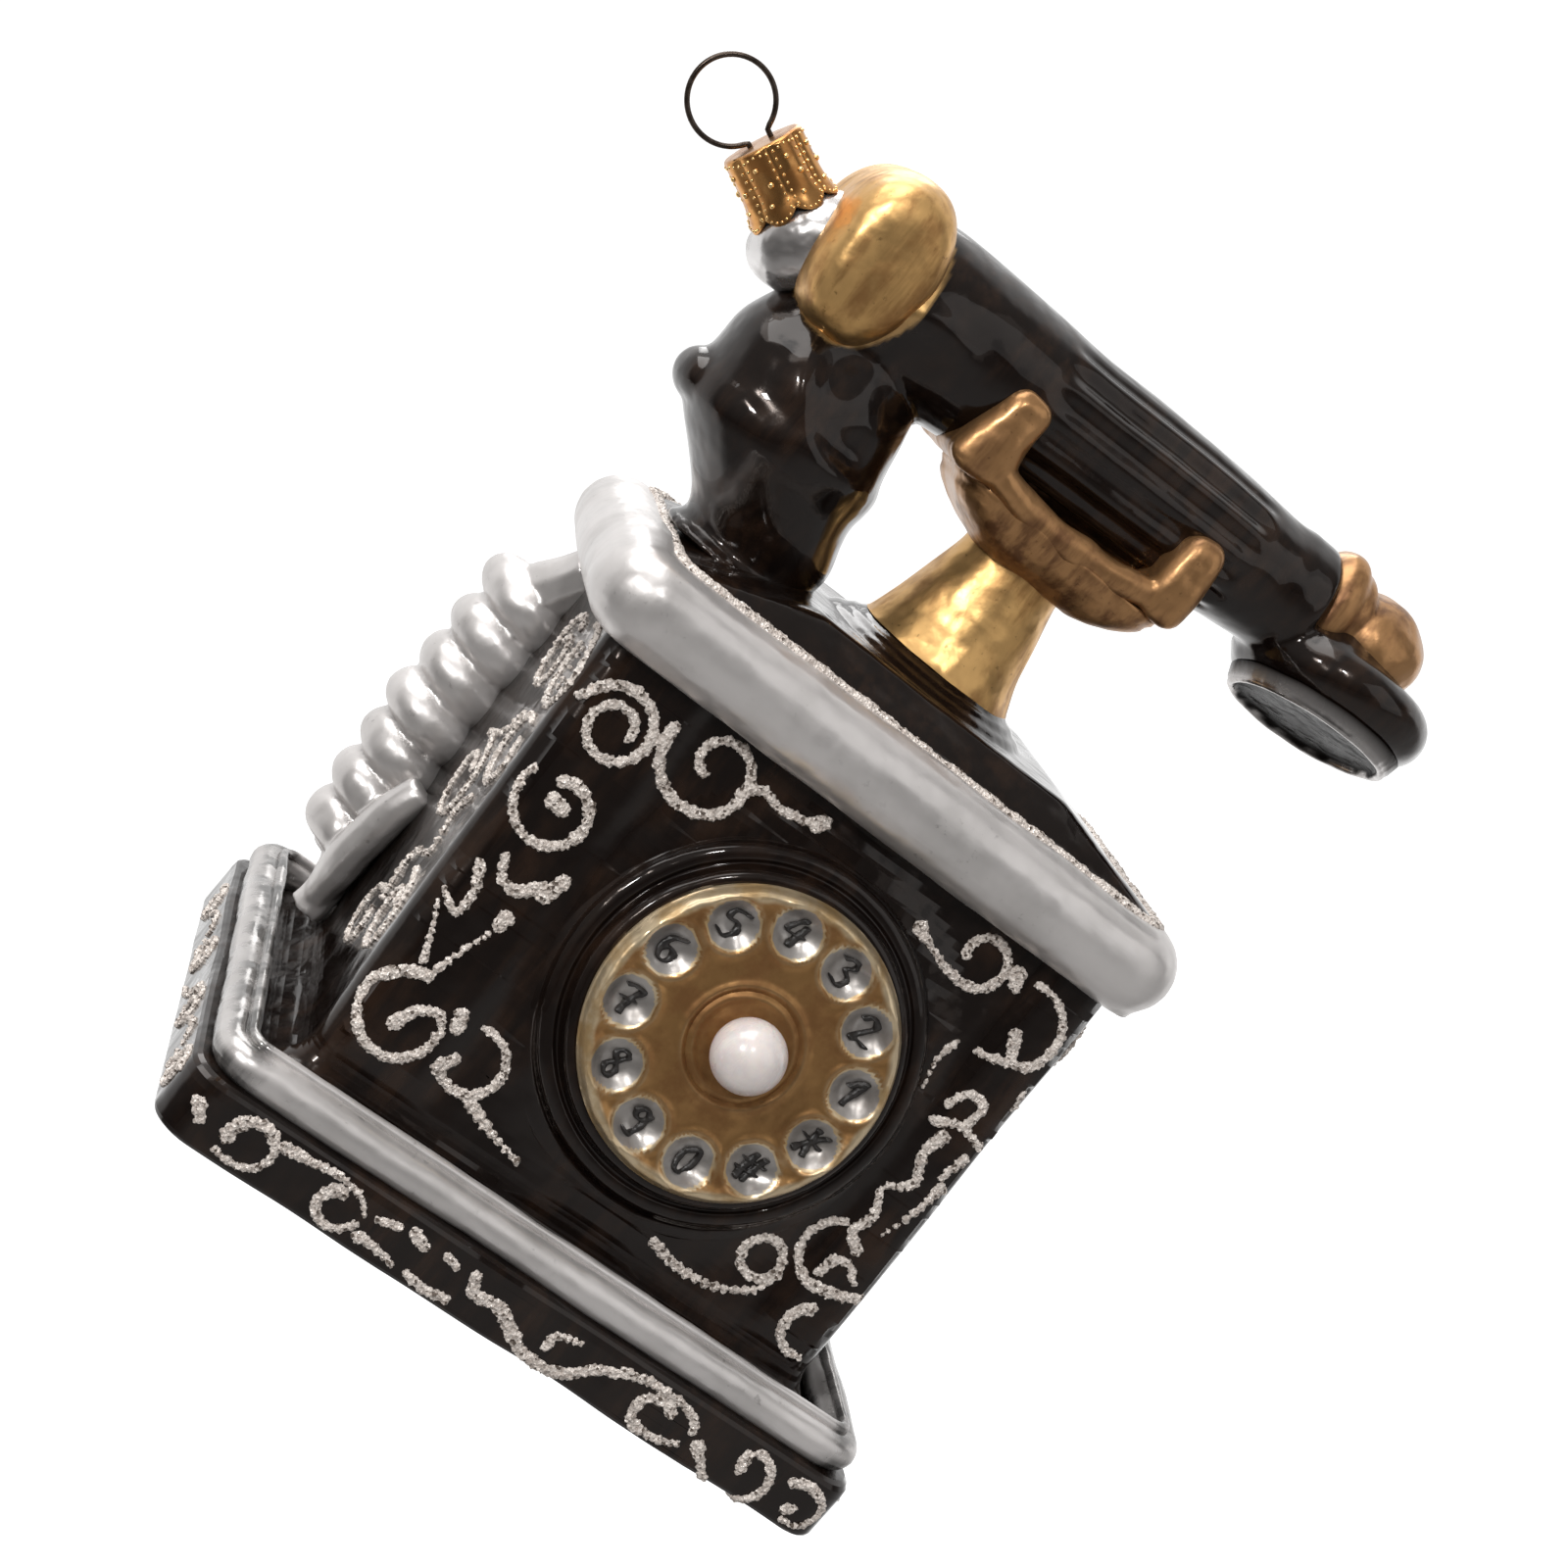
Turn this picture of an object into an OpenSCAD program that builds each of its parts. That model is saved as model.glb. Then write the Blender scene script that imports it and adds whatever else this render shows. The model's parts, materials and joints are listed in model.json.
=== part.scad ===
// Cradle telephone ornament of blown glass, hanging from a metal cap and a wire ring.
// Every piece is drawn with the telephone upright, X to its right, Y to its back and
// Z up, with Z = 0 at the underside of its plinth. The module hang() then leans the
// whole to the pose in which it hangs, with the origin where a hook carries the ring.
// Lengths are in millimetres.

/* [Glass] */
// Thickness of the blown glass
glass_wall = 0.8; // [0.6:0.05:1.2]
// Lean of the telephone when it hangs still
hang_lean = 39.3; // [30:0.1:48]

/* [Plinth] */
// Width of the plinth, side to side
plinth_w = 84; // [80:0.5:92]
// Depth of the plinth, front to back
plinth_d = 65.4; // [62:0.2:74]
// Height of the plinth's band
plinth_h = 7.6; // [6:0.1:10]
// Corner radius of the plinth, seen from above
plinth_corner_r = 4; // [2.5:0.1:5]
// Radius of the bead on the plinth
base_bead_r = 2.1; // [1.7:0.1:2.5]
// Distance from the plinth's edge to the centre line of its bead
base_bead_inset = 2.9; // [2.6:0.1:3.6]
// Height of the hollow flare between the plinth and the housing
cove_h = 6.4; // [5.6:0.1:8]

/* [Housing] */
// Width of the housing at its foot
housing_w = 64.8; // [60:0.2:70]
// Depth of the housing at its foot
housing_d = 50.4; // [47:0.2:54]
// Width of the housing under the top bead
housing_top_w = 67.4; // [62:0.2:72]
// Depth of the housing under the top bead
housing_top_d = 36; // [33:0.2:42]
// Height of the housing's walls
housing_h = 49.4; // [46:0.2:56]
// Corner radius of the housing, seen from above
housing_corner_r = 3; // [2:0.1:4.5]

/* [Top] */
// Radius of the round bead around the top
top_bead_r = 5; // [4.4:0.1:5.6]
// How far the top bead's centre line stands outside the housing's side walls
top_bead_side_out = 0; // [-0.5:0.1:1]
// How far the top bead's centre line stands outside the housing's front and back
top_bead_front_out = 2; // [1:0.1:2.6]
// Distance from the top bead's centre line in to the edge of the lid
lid_inset = 1.6; // [1.2:0.1:2.2]
// Height of the lid's flat above its edge
lid_h = 4.2; // [3:0.1:5]
// Width of the lid's slope at either side
lid_side_slope = 15; // [12:0.2:17]
// Width of the lid's slope at the front and back
lid_front_slope = 4; // [3:0.1:5]
// Height of the lid's round foot under the stem
lid_foot_h = 2; // [1.6:0.1:3]
// Radius of the lid's round foot where it leaves the flat
lid_foot_r = 13; // [12:0.1:14]
// Width of the glitter line along the lid's edge
glitter_w = 1; // [0.8:0.1:1.4]
// Height of the glitter line
glitter_h = 0.5; // [0.3:0.1:0.7]

/* [Dial] */
// Centre of the dial, to the right of the middle
dial_x = 1.8; // [0:0.1:3]
// Height of the dial's centre above the housing's foot
dial_up = 24.2; // [23:0.2:27]
// Radius of the dial plate
dial_r = 16.8; // [15.5:0.1:18]
// Thickness of the dial plate
dial_t = 2.2; // [1.8:0.1:2.8]
// Number of finger dimples on the dial
dimples = 12; // [8:1:14]
// Radius of a finger dimple
dimple_r = 2.6; // [2:0.1:3]
// Depth of a finger dimple
dimple_depth = 0.8; // [0.4:0.1:1.1]
// Distance from the dial's centre to the dimples' centres
dimple_ring_r = 12.9; // [12:0.1:13.4]
// Radius of the round mount under the dial plate, at the housing
mount_r = 22.4; // [21:0.1:23]
// Height of the round mount under the dial plate
mount_h = 4.2; // [3:0.1:5]
// Diameter of the pearl
pearl_d = 8.2; // [7:0.1:9]

/* [Cradle] */
// Radius of the stem at its foot
stem_foot_r = 9.6; // [8.8:0.1:10.4]
// Radius of the stem at its top
stem_top_r = 6.1; // [5.4:0.1:6.8]
// Height of the stem
stem_h = 13; // [12:0.1:16]
// Height of the saddle's bowl under the handset
saddle_h = 6.4; // [5.6:0.1:7.4]
// Width of the saddle across its top
saddle_w = 32; // [29:0.2:36]
// Width across the outsides of the fork
fork_w = 30; // [28:0.2:33]
// Width of a prong of the fork
prong_w = 5.2; // [4.4:0.1:6]
// Height of the prongs above the fork's bar
prong_h = 8.4; // [7:0.1:9.6]
// Height of the fork's bar
fork_bar_h = 2.5; // [2:0.1:3.2]
// Distance from the middle to the outside of the fork, front or back
fork_reach = 10.6; // [10:0.1:11.4]

/* [Handset] */
// Radius of the grip behind the receiver
grip_left_r = 9.4; // [9:0.1:9.8]
// Radius of the grip next to the mouthpiece
grip_right_r = 7; // [6.6:0.1:7.6]
// Length of the grip
grip_l = 58; // [56:0.2:60]
// Distance from the stem's axis to the grip's receiver end
grip_left_x = 30; // [29:0.2:31]
// Rise of the grip towards the mouthpiece, as an angle
grip_rise = 2.1; // [1:0.1:3]
// Radius of a raised flute on the grip
flute_r = 0.55; // [0.4:0.05:0.7]
// Number of flutes on each side of the grip
flutes = 7; // [5:1:9]
// Radius of the receiver's end cap
receiver_cap_r = 9; // [8.6:0.1:9.4]
// Thickness of the receiver's end cap
receiver_cap_t = 12.2; // [11:0.1:13]
// Radius of the receiver's rim
horn_rim_r = 13.2; // [12.4:0.1:13.8]
// Thickness of the receiver's rim
horn_rim_t = 6.2; // [5.4:0.1:7]
// Radius of the receiver above its rim
horn_r = 11.8; // [11.4:0.1:12]
// Radius of the mouthpiece's rim
mouth_r = 12.1; // [11.6:0.1:13]
// Thickness of the mouthpiece's rim
mouth_t = 7; // [6:0.1:8]
// Height of the mouthpiece's lip
mouth_lip_h = 1.4; // [1.2:0.1:2.4]

/* [Cord relief] */
// Outer radius of the moulded curly cord
coil_r = 6.3; // [5.6:0.1:6.8]
// Distance from one turn of the curly cord to the next
coil_pitch = 5.1; // [4.8:0.1:5.4]
// Number of turns of the curly cord
coil_turns = 7; // [5:1:7]

/* [Neck, cap and ring] */
// Outer radius of the glass neck
neck_r = 3.6; // [3.4:0.05:3.8]
// Length of the glass neck inside the cap
neck_l = 6.3; // [5.6:0.1:7]
// Lift of the neck's axis above level, with the telephone upright
neck_lift = 24.2; // [20:0.2:28]
// Thickness of the cap's sheet metal
cap_sheet = 0.35; // [0.25:0.05:0.45]
// Gap between the glass neck and the cap
cap_gap = 0.35; // [0.3:0.05:0.45]
// Radius of the ring, to the middle of its wire
ring_r = 4.55; // [4.2:0.05:5.2]
// Diameter of the ring's wire
wire_d = 0.6; // [0.5:0.05:0.7]
// Length of the wire's legs inside the neck
leg_l = 4.6; // [4:0.1:5.4]

/* [Hidden] */

$fn = 48;
HULL_FN = 32;
EPS = 0.01;
BLACK = "#1a1311";
SILVER = "#b9b7b6";
GOLD = "#b98a3a";
BRONZE = "#9a6b35";
GLITTER = "#e6e2da";
PEARL = "#efe4de";
CAP_GOLD = "#b98246";
WIRE = "#3a3530";

// Heights of the stack, from the plinth up
cove_z = plinth_h;
housing_z = cove_z + cove_h;
housing_top_z = housing_z + housing_h;
top_bead_z = housing_top_z + top_bead_r;
top_bead_hw = housing_top_w / 2 + top_bead_side_out;
top_bead_hd = housing_top_d / 2 + top_bead_front_out;
lid_hw = top_bead_hw - lid_inset;
lid_hd = top_bead_hd - lid_inset;
lid_z = top_bead_z + sqrt(top_bead_r ^ 2 - lid_inset ^ 2);
lid_top_z = lid_z + lid_h;
stem_z = lid_top_z + lid_foot_h;
saddle_z = stem_z + stem_h;
saddle_top_z = saddle_z + saddle_h;

// Fork: its bar laps into the saddle's top, and the grip lies a little into the bar
fork_x = 0.2;
fork_lap = 1.4;
fork_z = saddle_top_z - fork_lap;
grip_sink = 0.36;

// Grip: a cone along its own axis, from the receiver to the mouthpiece
grip_slope = (grip_left_r - grip_right_r) / grip_l;
function grip_r_at(x) = grip_left_r - (x + grip_left_x) * grip_slope;
grip_z = fork_z + fork_bar_h + grip_r_at(0) - grip_sink;
flute_x = -10;
flute_l = 27;
flute_step = 13;

// Base bead and cove, with the bead's rise and its lap on the cove as shares of its radius
bead_rise = 0.9;
bead_lap = 0.6;
base_bead_z = plinth_h + bead_rise * base_bead_r;
base_bead_hw = plinth_w / 2 - base_bead_inset;
base_bead_hd = plinth_d / 2 - base_bead_inset;
cove_w = 2 * (base_bead_hw - bead_lap * base_bead_r);
cove_d = 2 * (base_bead_hd - bead_lap * base_bead_r);

// Lean of the housing's front, and where the dial stands on it
front_lean = atan((housing_d - housing_top_d) / 2 / housing_h);
dial_y = -housing_d / 2 + dial_up * tan(front_lean);
mount_seat = 1.5;
mount_lip = 0.6;
// The mount's outline: how far in from its radius, and how high
mount_steps = [[0, 0.3], [1.6, 1.4], [2.4, 1.5], [3.2, 0.7 * mount_h], [3.9, 0.75 * mount_h],
               [mount_r - dial_r - mount_lip, mount_h]];
mount_window_in = 2;
// The dial's rim: how far in from its radius, and how high as a share of its thickness
dial_rim = [[0, 0.6], [0.5, 0.9], [1.1, 1], [1.8, 0.85]];
dial_face_z = mount_h + 0.85 * dial_t;
first_dimple = 12;
pearl_seat_r = pearl_d / 2 + 1.4;
pearl_seat_slope = 0.8;
pearl_seat_h = 0.4;
pearl_rise = 0.62 * pearl_d / 2;

// Saddle: a bowl from the stem's top out to the fork
saddle_foot = [18, 13];
saddle_foot_corner_r = 4;
saddle_corner_r = 5;
saddle_foot_x = 1.6;
saddle_x = 0.6;
saddle_inset = 0.7;
saddle_d = 2 * (fork_reach - saddle_inset);

// Receiver end
receiver_cap_x = -32.6;
receiver_cap_up = 1.9;
horn_x = -28.9;
horn_rim_z = -19.9;
horn_top_r = 9.8;
horn_top_z = -5.5;
foot_x = -24.2;
foot_r = 7.9;
foot_flare = 1;
foot_h = 2.5;
foot_seat_x = horn_x + 0.8;
foot_seat_r = horn_rim_r - 2;
foot_seat_z = horn_rim_z - horn_rim_t / 4;

// Mouthpiece end
mouth_x = 37.4;
mouth_z = -4.4;
mouth_roll = -1;
mouth_pitch = -15;
mouth_lip_r = 10.4;
mouth_neck_r = 7;
mouth_neck_h = 4.6;
mouth_neck_foot_in = 1.2;
mouth_neck_waist_in = 2.6;
mouth_neck_flare = 1.4;
mouth_neck_flare_h = 1.8;
mouth_lip_w = 2.6;
mouth_lip_slope = 0.6;
mouth_lip_bevel = 0.8;
mouth_cap_x = grip_l - grip_left_x;
mouth_cap_lap = 0.5;
mouth_collar_r = 5.8;
mouth_collar_t = 5.1;
mouth_collar_up = 1.9;
mouth_dome_r = 5.9;
mouth_dome_lap = 1;
mouth_dome_up = 1.4;

// Neck frame: its origin is the middle of the cap's mouth
neck_x = -43;
neck_z = -0.7;
shoulder_r = 6.6;
shoulder_l = 6.4;
shoulder_seat_w = 1;
// The shoulder's outline: how far in from its radius, and how deep as a share of its length
shoulder = [[1.8, 1], [0.5, 0.8], [0, 0.57], [0.4, 0.35]];
cap_in_r = neck_r + cap_gap;
cap_out_r = cap_in_r + cap_sheet;
cap_skirt_out = 0.35;
cap_skirt_h = 2;
cap_mouth_r = cap_out_r + cap_skirt_out;
cap_seat = 0.3;
cap_top = neck_l + cap_seat;
hole_x = 1.2;
hole_gap = 0.25;
hole_r = wire_d / 2 + hole_gap;
neck_bore_r = neck_r - 0.8 * glass_wall;
leg_gap = 1.1;
leg_spread = neck_bore_r - wire_d / 2 - leg_gap;
ring_side = -0.8;
ring_lift = 0.5;
ring_up = cap_top + cap_sheet + ring_r + ring_lift;
bend_r = 0.53 * wire_d;
ring_in_r = ring_r - wire_d / 2;
neck_turn = neck_lift - 90;

// Curly cord on the housing's left side, near the back
coil_out = 2.9;
coil_in = 9.7;
coil_x = -housing_w / 2 - coil_out;
coil_y = housing_d / 2 - coil_in;
coil_drop = 10;
coil_top_z = housing_top_z - coil_drop;
rib_gap = 0.2;
coil_core_r = 4.5;
tail_r = 2.1;
tail_top = [coil_x + 0.3, coil_y - 2.5, housing_z + 13];
tail_foot = [coil_x + 0.7, coil_y - 3.5, housing_z - 1.2];
lobe_r = 2.3;
lobe_top = [coil_x + 0.3, coil_y - 7.5, housing_z + 16.5];
lobe_foot = [coil_x + 0.7, coil_y - 4.5, housing_z + 7];

// Where the hook carries the ring, with the telephone upright
ring_x = neck_x + ring_side * cos(neck_turn) + ring_up * sin(neck_turn);
ring_z = grip_z + neck_z - ring_side * sin(neck_turn) + ring_up * cos(neck_turn);
hook_x = ring_x - ring_in_r * sin(hang_lean);
hook_z = ring_z + ring_in_r * cos(hang_lean);

function mix(a, b, share) = a + (b - a) * share;

module hang() rotate([0, hang_lean, 0]) translate([-hook_x, 0, -hook_z]) children();

// Frames of the sub-assemblies, with the telephone upright
module on_grip() translate([0, 0, grip_z]) rotate([0, -grip_rise, 0]) children();
module along_x() rotate([0, 90, 0]) children();
module on_neck() translate([neck_x, 0, grip_z + neck_z]) rotate([0, neck_turn, 0]) children();
module on_front() translate([dial_x, dial_y, housing_z + dial_up]) rotate([90 - front_lean, 0, 0]) children();
module on_mouth()
    translate([mouth_x, 0, grip_z + mouth_z]) rotate([mouth_pitch, mouth_roll, 0]) children();

// Shapes that repeat
module rounded_rect(w, d, r) {
    square([w - 2 * r, d], center = true);
    square([w, d - 2 * r], center = true);
    for (x = [-1, 1], y = [-1, 1]) translate([x * (w / 2 - r), y * (d / 2 - r)]) circle(r);
}
module prism(w, d, r, z1, z2) translate([0, 0, z1]) linear_extrude(z2 - z1) rounded_rect(w, d, r);
module taper(w1, d1, z1, w2, d2, z2, r) hull() {
    prism(w1, d1, r, z1, z1 + EPS, $fn = HULL_FN);
    prism(w2, d2, r, z2 - EPS, z2, $fn = HULL_FN);
}
// A flat slab whose edge is a half round of radius r along a rectangle
module round_edged(hw, hd, z, r) hull()
    for (x = [-1, 1], y = [-1, 1]) translate([x * hw, y * hd, z]) sphere(r, $fn = HULL_FN);
// A round disc with a half-round edge, centred
module bun(r, t) rotate_extrude() intersection() {
    union() {
        translate([r - t / 2, 0]) circle(t / 2);
        translate([0, -t / 2]) square([r - t / 2, t]);
    }
    translate([0, -t]) square([r, 2 * t]);
}
module strand(a, b, r) hull() {
    translate(a) sphere(r, $fn = HULL_FN);
    translate(b) sphere(r, $fn = HULL_FN);
}

// Outer forms, which neighbours are cut to
module cove_form(g = 0) taper(cove_w - 2 * g, cove_d - 2 * g, cove_z, housing_w - 2 * g,
                              housing_d - 2 * g, housing_z, housing_corner_r);
module base_bead_form(g = 0) round_edged(base_bead_hw, base_bead_hd, base_bead_z, base_bead_r - g);
module housing_form(g = 0) taper(housing_w - 2 * g, housing_d - 2 * g, housing_z, housing_top_w - 2 * g,
                                 housing_top_d - 2 * g, top_bead_z, housing_corner_r);
module top_bead_form(g = 0) round_edged(top_bead_hw, top_bead_hd, top_bead_z, top_bead_r - g);
module lid_form(g = 0) taper(2 * (lid_hw - g), 2 * (lid_hd - g), lid_z - glass_wall,
                             2 * (lid_hw - lid_side_slope - g), 2 * (lid_hd - lid_front_slope - g), lid_top_z - g,
                             housing_corner_r);
module foot_form(g = 0) translate([0, 0, lid_top_z]) rotate_extrude()
    polygon([[0, -glass_wall], [lid_foot_r - g, -glass_wall], [lid_foot_r - g, 0],
             [mix(lid_foot_r, stem_foot_r, 0.56) - g, 0.3 * lid_foot_h],
             [mix(lid_foot_r, stem_foot_r, 0.85) - g, 0.6 * lid_foot_h], [stem_foot_r - g, lid_foot_h],
             [0, lid_foot_h]]);
module stem_form(g = 0) translate([0, 0, stem_z]) rotate_extrude()
    polygon([[0, 0], [stem_foot_r - g, 0], [mix(stem_foot_r, stem_top_r, 0.4) - g, 0.3 * stem_h],
             [mix(stem_foot_r, stem_top_r, 0.8) - g, 0.7 * stem_h], [stem_top_r - g, stem_h], [0, stem_h]]);
// The grip's hollow, g inside it, ends in a wall at the mouthpiece
module grip_form(g = 0) on_grip() translate([-grip_left_x, 0, 0]) along_x()
    cylinder(r1 = grip_left_r - g, r2 = grip_right_r - g, h = grip_l - g);
module fork_form() translate([0, fork_reach, fork_z]) rotate([90, 0, 0])
    linear_extrude(2 * fork_reach) fork_profile();
module receiver_cap_form(g = 0) on_grip() translate([receiver_cap_x, 0, receiver_cap_up]) along_x()
    bun(receiver_cap_r - g, receiver_cap_t - 2 * g);
module horn_form(g = 0) translate([horn_x, 0, grip_z]) {
    translate([0, 0, horn_rim_z]) bun(horn_rim_r - g, horn_rim_t - 2 * g);
    translate([0, 0, horn_rim_z]) cylinder(r1 = horn_r - g, r2 = horn_top_r - g, h = horn_top_z - horn_rim_z - g);
}
module receiver_foot_form(g = 0) hull() {
    translate([foot_x, 0, lid_z]) cylinder(r = foot_r + foot_flare - g, h = EPS, $fn = HULL_FN);
    translate([foot_x, 0, lid_top_z + foot_h]) cylinder(r = foot_r - g, h = EPS, $fn = HULL_FN);
    translate([foot_seat_x, 0, grip_z + foot_seat_z]) cylinder(r = foot_seat_r - g, h = EPS, $fn = HULL_FN);
}
module mouth_cup_form(g = 0) on_mouth() bun(mouth_r - g, mouth_t - 2 * g);
module mouth_neck_form() on_mouth() rotate_extrude()
    polygon([[0, 0], [mouth_r - mouth_neck_foot_in, 0], [mouth_r - mouth_neck_waist_in, mouth_t / 2],
             [mouth_neck_r + mouth_neck_flare, mouth_t / 2 + mouth_neck_flare_h],
             [mouth_neck_r, mouth_t / 2 + mouth_neck_h], [0, mouth_t / 2 + mouth_neck_h]]);
module mouth_lip_form() on_mouth() translate([0, 0, -mouth_t / 2 - mouth_lip_h])
    cylinder(r1 = mouth_lip_r - mouth_lip_slope, r2 = mouth_lip_r, h = mouth_lip_h + mouth_t / 2);
module mouth_cap_form(g = 0) on_grip() translate([mouth_cap_x - mouth_cap_lap, 0, 0]) {
    translate([mouth_collar_t / 2, 0, mouth_collar_up]) along_x()
        bun(mouth_collar_r - g, mouth_collar_t - 2 * g);
    translate([mouth_collar_t - mouth_dome_lap + mouth_dome_r, 0, mouth_dome_up]) sphere(mouth_dome_r - g);
}
// The neck: a round shoulder, then the tube that the cap sits on
module neck_form() on_neck() rotate_extrude()
    polygon([[0, -shoulder_l], for (step = shoulder) [shoulder_r - step.x, -step.y * shoulder_l],
             [neck_r + shoulder_seat_w, -cap_seat], [neck_r, -cap_seat], [neck_r, neck_l], [0, neck_l]]);

// Glass
module plinth() color(BLACK) hang() difference() {
    prism(plinth_w, plinth_d, plinth_corner_r, 0, plinth_h);
    prism(plinth_w - 2 * glass_wall, plinth_d - 2 * glass_wall, plinth_corner_r - glass_wall,
          glass_wall, plinth_h - glass_wall);
    prism(cove_w - 2 * glass_wall, cove_d - 2 * glass_wall, housing_corner_r - glass_wall,
          plinth_h - 2 * glass_wall, plinth_h + EPS);
}

module plinth_bead() color(SILVER) hang() difference() {
    base_bead_form();
    base_bead_form(glass_wall);
    translate([0, 0, plinth_h - base_bead_r])
        cube([2 * plinth_w, 2 * plinth_d, 2 * base_bead_r], center = true);
    cove_form();
}

module plinth_cove() color(BLACK) hang() difference() {
    cove_form();
    cove_form(glass_wall);
}

module housing() color(BLACK) hang() difference() {
    housing_form();
    housing_form(glass_wall);
    top_bead_form();
}

// Two rounded steps, from the housing's face up to the back of the dial plate
module mount_form(g = 0) on_front() rotate_extrude()
    polygon([[0, -mount_seat], [mount_r - g, -mount_seat],
             for (step = mount_steps) [mount_r - step.x - g, step.y - g], [0, mount_h - g]]);

module dial_mount() color(BLACK) hang() difference() {
    mount_form();
    mount_form(glass_wall);
    on_front() cylinder(r = dial_r - mount_window_in, h = 2 * mount_h);
    housing_form();
}

module dial_plate() color(GOLD) hang() difference() {
    on_front() translate([0, 0, mount_h]) rotate_extrude()
        polygon([[0, 0], [dial_r, 0], for (step = dial_rim) [dial_r - step.x, step.y * dial_t],
                 [pearl_seat_r + pearl_seat_slope, dial_face_z - mount_h],
                 [pearl_seat_r, dial_t + pearl_seat_h], [0, dial_t + pearl_seat_h]]);
    for (i = [0 : dimples - 1]) {
        dimple_ball_r = (dimple_r ^ 2 + dimple_depth ^ 2) / (2 * dimple_depth);
        on_front() rotate([0, 0, first_dimple + i * 360 / dimples])
            translate([dimple_ring_r, 0, dial_face_z - dimple_depth + dimple_ball_r])
                sphere(dimple_ball_r);
    }
    on_front() translate([0, 0, mount_h + dial_t + pearl_rise]) sphere(pearl_d / 2);
}

module pearl() color(PEARL) hang()
    on_front() translate([0, 0, mount_h + dial_t + pearl_rise]) sphere(pearl_d / 2);

module top_bead() color(SILVER) hang() difference() {
    top_bead_form();
    top_bead_form(glass_wall);
    prism(2 * lid_hw, 2 * lid_hd, housing_corner_r, top_bead_z, lid_top_z);
    prism(housing_top_w - 2 * glass_wall, housing_top_d - 2 * glass_wall, housing_corner_r - glass_wall,
          housing_top_z - EPS, top_bead_z);
}

module lid() color(BLACK) hang() difference() {
    union() {
        lid_form();
        foot_form();
    }
    lid_form(glass_wall);
    translate([0, 0, lid_z - 2 * glass_wall])
        cylinder(r = stem_foot_r - glass_wall, h = lid_h + lid_foot_h + 3 * glass_wall);
}

module lid_glitter() color(GLITTER) hang() difference() {
    prism(2 * lid_hw + glitter_w, 2 * lid_hd + glitter_w, housing_corner_r, lid_z - glass_wall, lid_z + glitter_h);
    prism(2 * lid_hw - glitter_w, 2 * lid_hd - glitter_w, housing_corner_r,
          lid_z - 2 * glass_wall, lid_z + 2 * glitter_h);
    top_bead_form();
    lid_form();
    receiver_foot_form();
}

module cradle_stem() color(GOLD) hang() difference() {
    stem_form();
    translate([0, 0, -EPS]) stem_form(glass_wall);
    translate([0, 0, saddle_z - glass_wall]) cylinder(r = stem_top_r - glass_wall, h = 2 * glass_wall);
}

module fork_profile() {
    left = fork_x - fork_w / 2;
    right = fork_x + fork_w / 2;
    translate([left, 0]) square([fork_w, fork_bar_h]);
    for (x = [left, right - prong_w]) translate([x, 0]) {
        square([prong_w, fork_bar_h + prong_h - prong_w / 4]);
        translate([prong_w / 4, 0]) square([prong_w / 2, fork_bar_h + prong_h]);
        for (side = [1, 3]) translate([side * prong_w / 4, fork_bar_h + prong_h - prong_w / 4])
            circle(prong_w / 4);
    }
}

module cradle_fork() color(BRONZE) hang() difference() {
    fork_form();
    grip_form();
}

module saddle_form(g = 0) hull() {
    translate([saddle_foot_x, 0, saddle_z]) linear_extrude(EPS)
        rounded_rect(saddle_foot.x - 2 * g, saddle_foot.y - 2 * g, saddle_foot_corner_r, $fn = HULL_FN);
    translate([saddle_x, 0, fork_z - EPS]) linear_extrude(EPS)
        rounded_rect(saddle_w - 2 * g, saddle_d - 2 * g, saddle_corner_r, $fn = HULL_FN);
}

module cradle_saddle() color(BRONZE) hang() difference() {
    saddle_form();
    translate([0, 0, glass_wall]) saddle_form(1.4 * glass_wall);
    translate([0, 0, saddle_z - glass_wall]) cylinder(r = stem_top_r - glass_wall, h = 3 * glass_wall);
    grip_form();
}

module flutes_form() on_grip() for (side = [-1, 1], i = [0 : flutes - 1])
    rotate([side * 90 + (i - (flutes - 1) / 2) * flute_step - 90, 0, 0])
        translate([flute_x, 0, grip_r_at(flute_x)]) rotate([0, atan(grip_slope), 0]) along_x()
            cylinder(r = flute_r, h = flute_l);

module handset_grip() color(BLACK) hang() difference() {
    union() {
        grip_form();
        difference() {
            flutes_form();
            fork_form();
        }
    }
    grip_form(glass_wall);
    receiver_cap_form();
}

module receiver_cap() color(GOLD) hang() difference() {
    receiver_cap_form();
    receiver_cap_form(glass_wall);
    grip_form(glass_wall);
}

module receiver_horn() color(BLACK) hang() difference() {
    horn_form();
    horn_form(glass_wall);
    receiver_cap_form();
    grip_form();
}

module receiver_foot() color(BLACK) hang() difference() {
    receiver_foot_form();
    receiver_foot_form(glass_wall);
    horn_form();
    lid_form();
    top_bead_form();
    foot_form();
}

module mouth_neck() color(BLACK) hang() difference() {
    mouth_neck_form();
    on_mouth() translate([0, 0, -1]) cylinder(r = mouth_neck_r - glass_wall, h = mouth_t / 2 + mouth_neck_h);
    grip_form();
    mouth_cup_form();
    mouth_cap_form();
}

module mouth_cup() color(BLACK) hang() difference() {
    mouth_cup_form();
    mouth_cup_form(glass_wall);
    grip_form();
    mouth_cap_form();
}

module mouth_lip() color(BLACK) hang() difference() {
    mouth_lip_form();
    on_mouth() translate([0, 0, -mouth_t / 2 - mouth_lip_h - EPS])
        cylinder(r1 = mouth_lip_r - mouth_lip_w, r2 = mouth_lip_r - mouth_lip_w - mouth_lip_bevel,
                 h = mouth_lip_h - glass_wall);
    mouth_cup_form();
}

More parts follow.
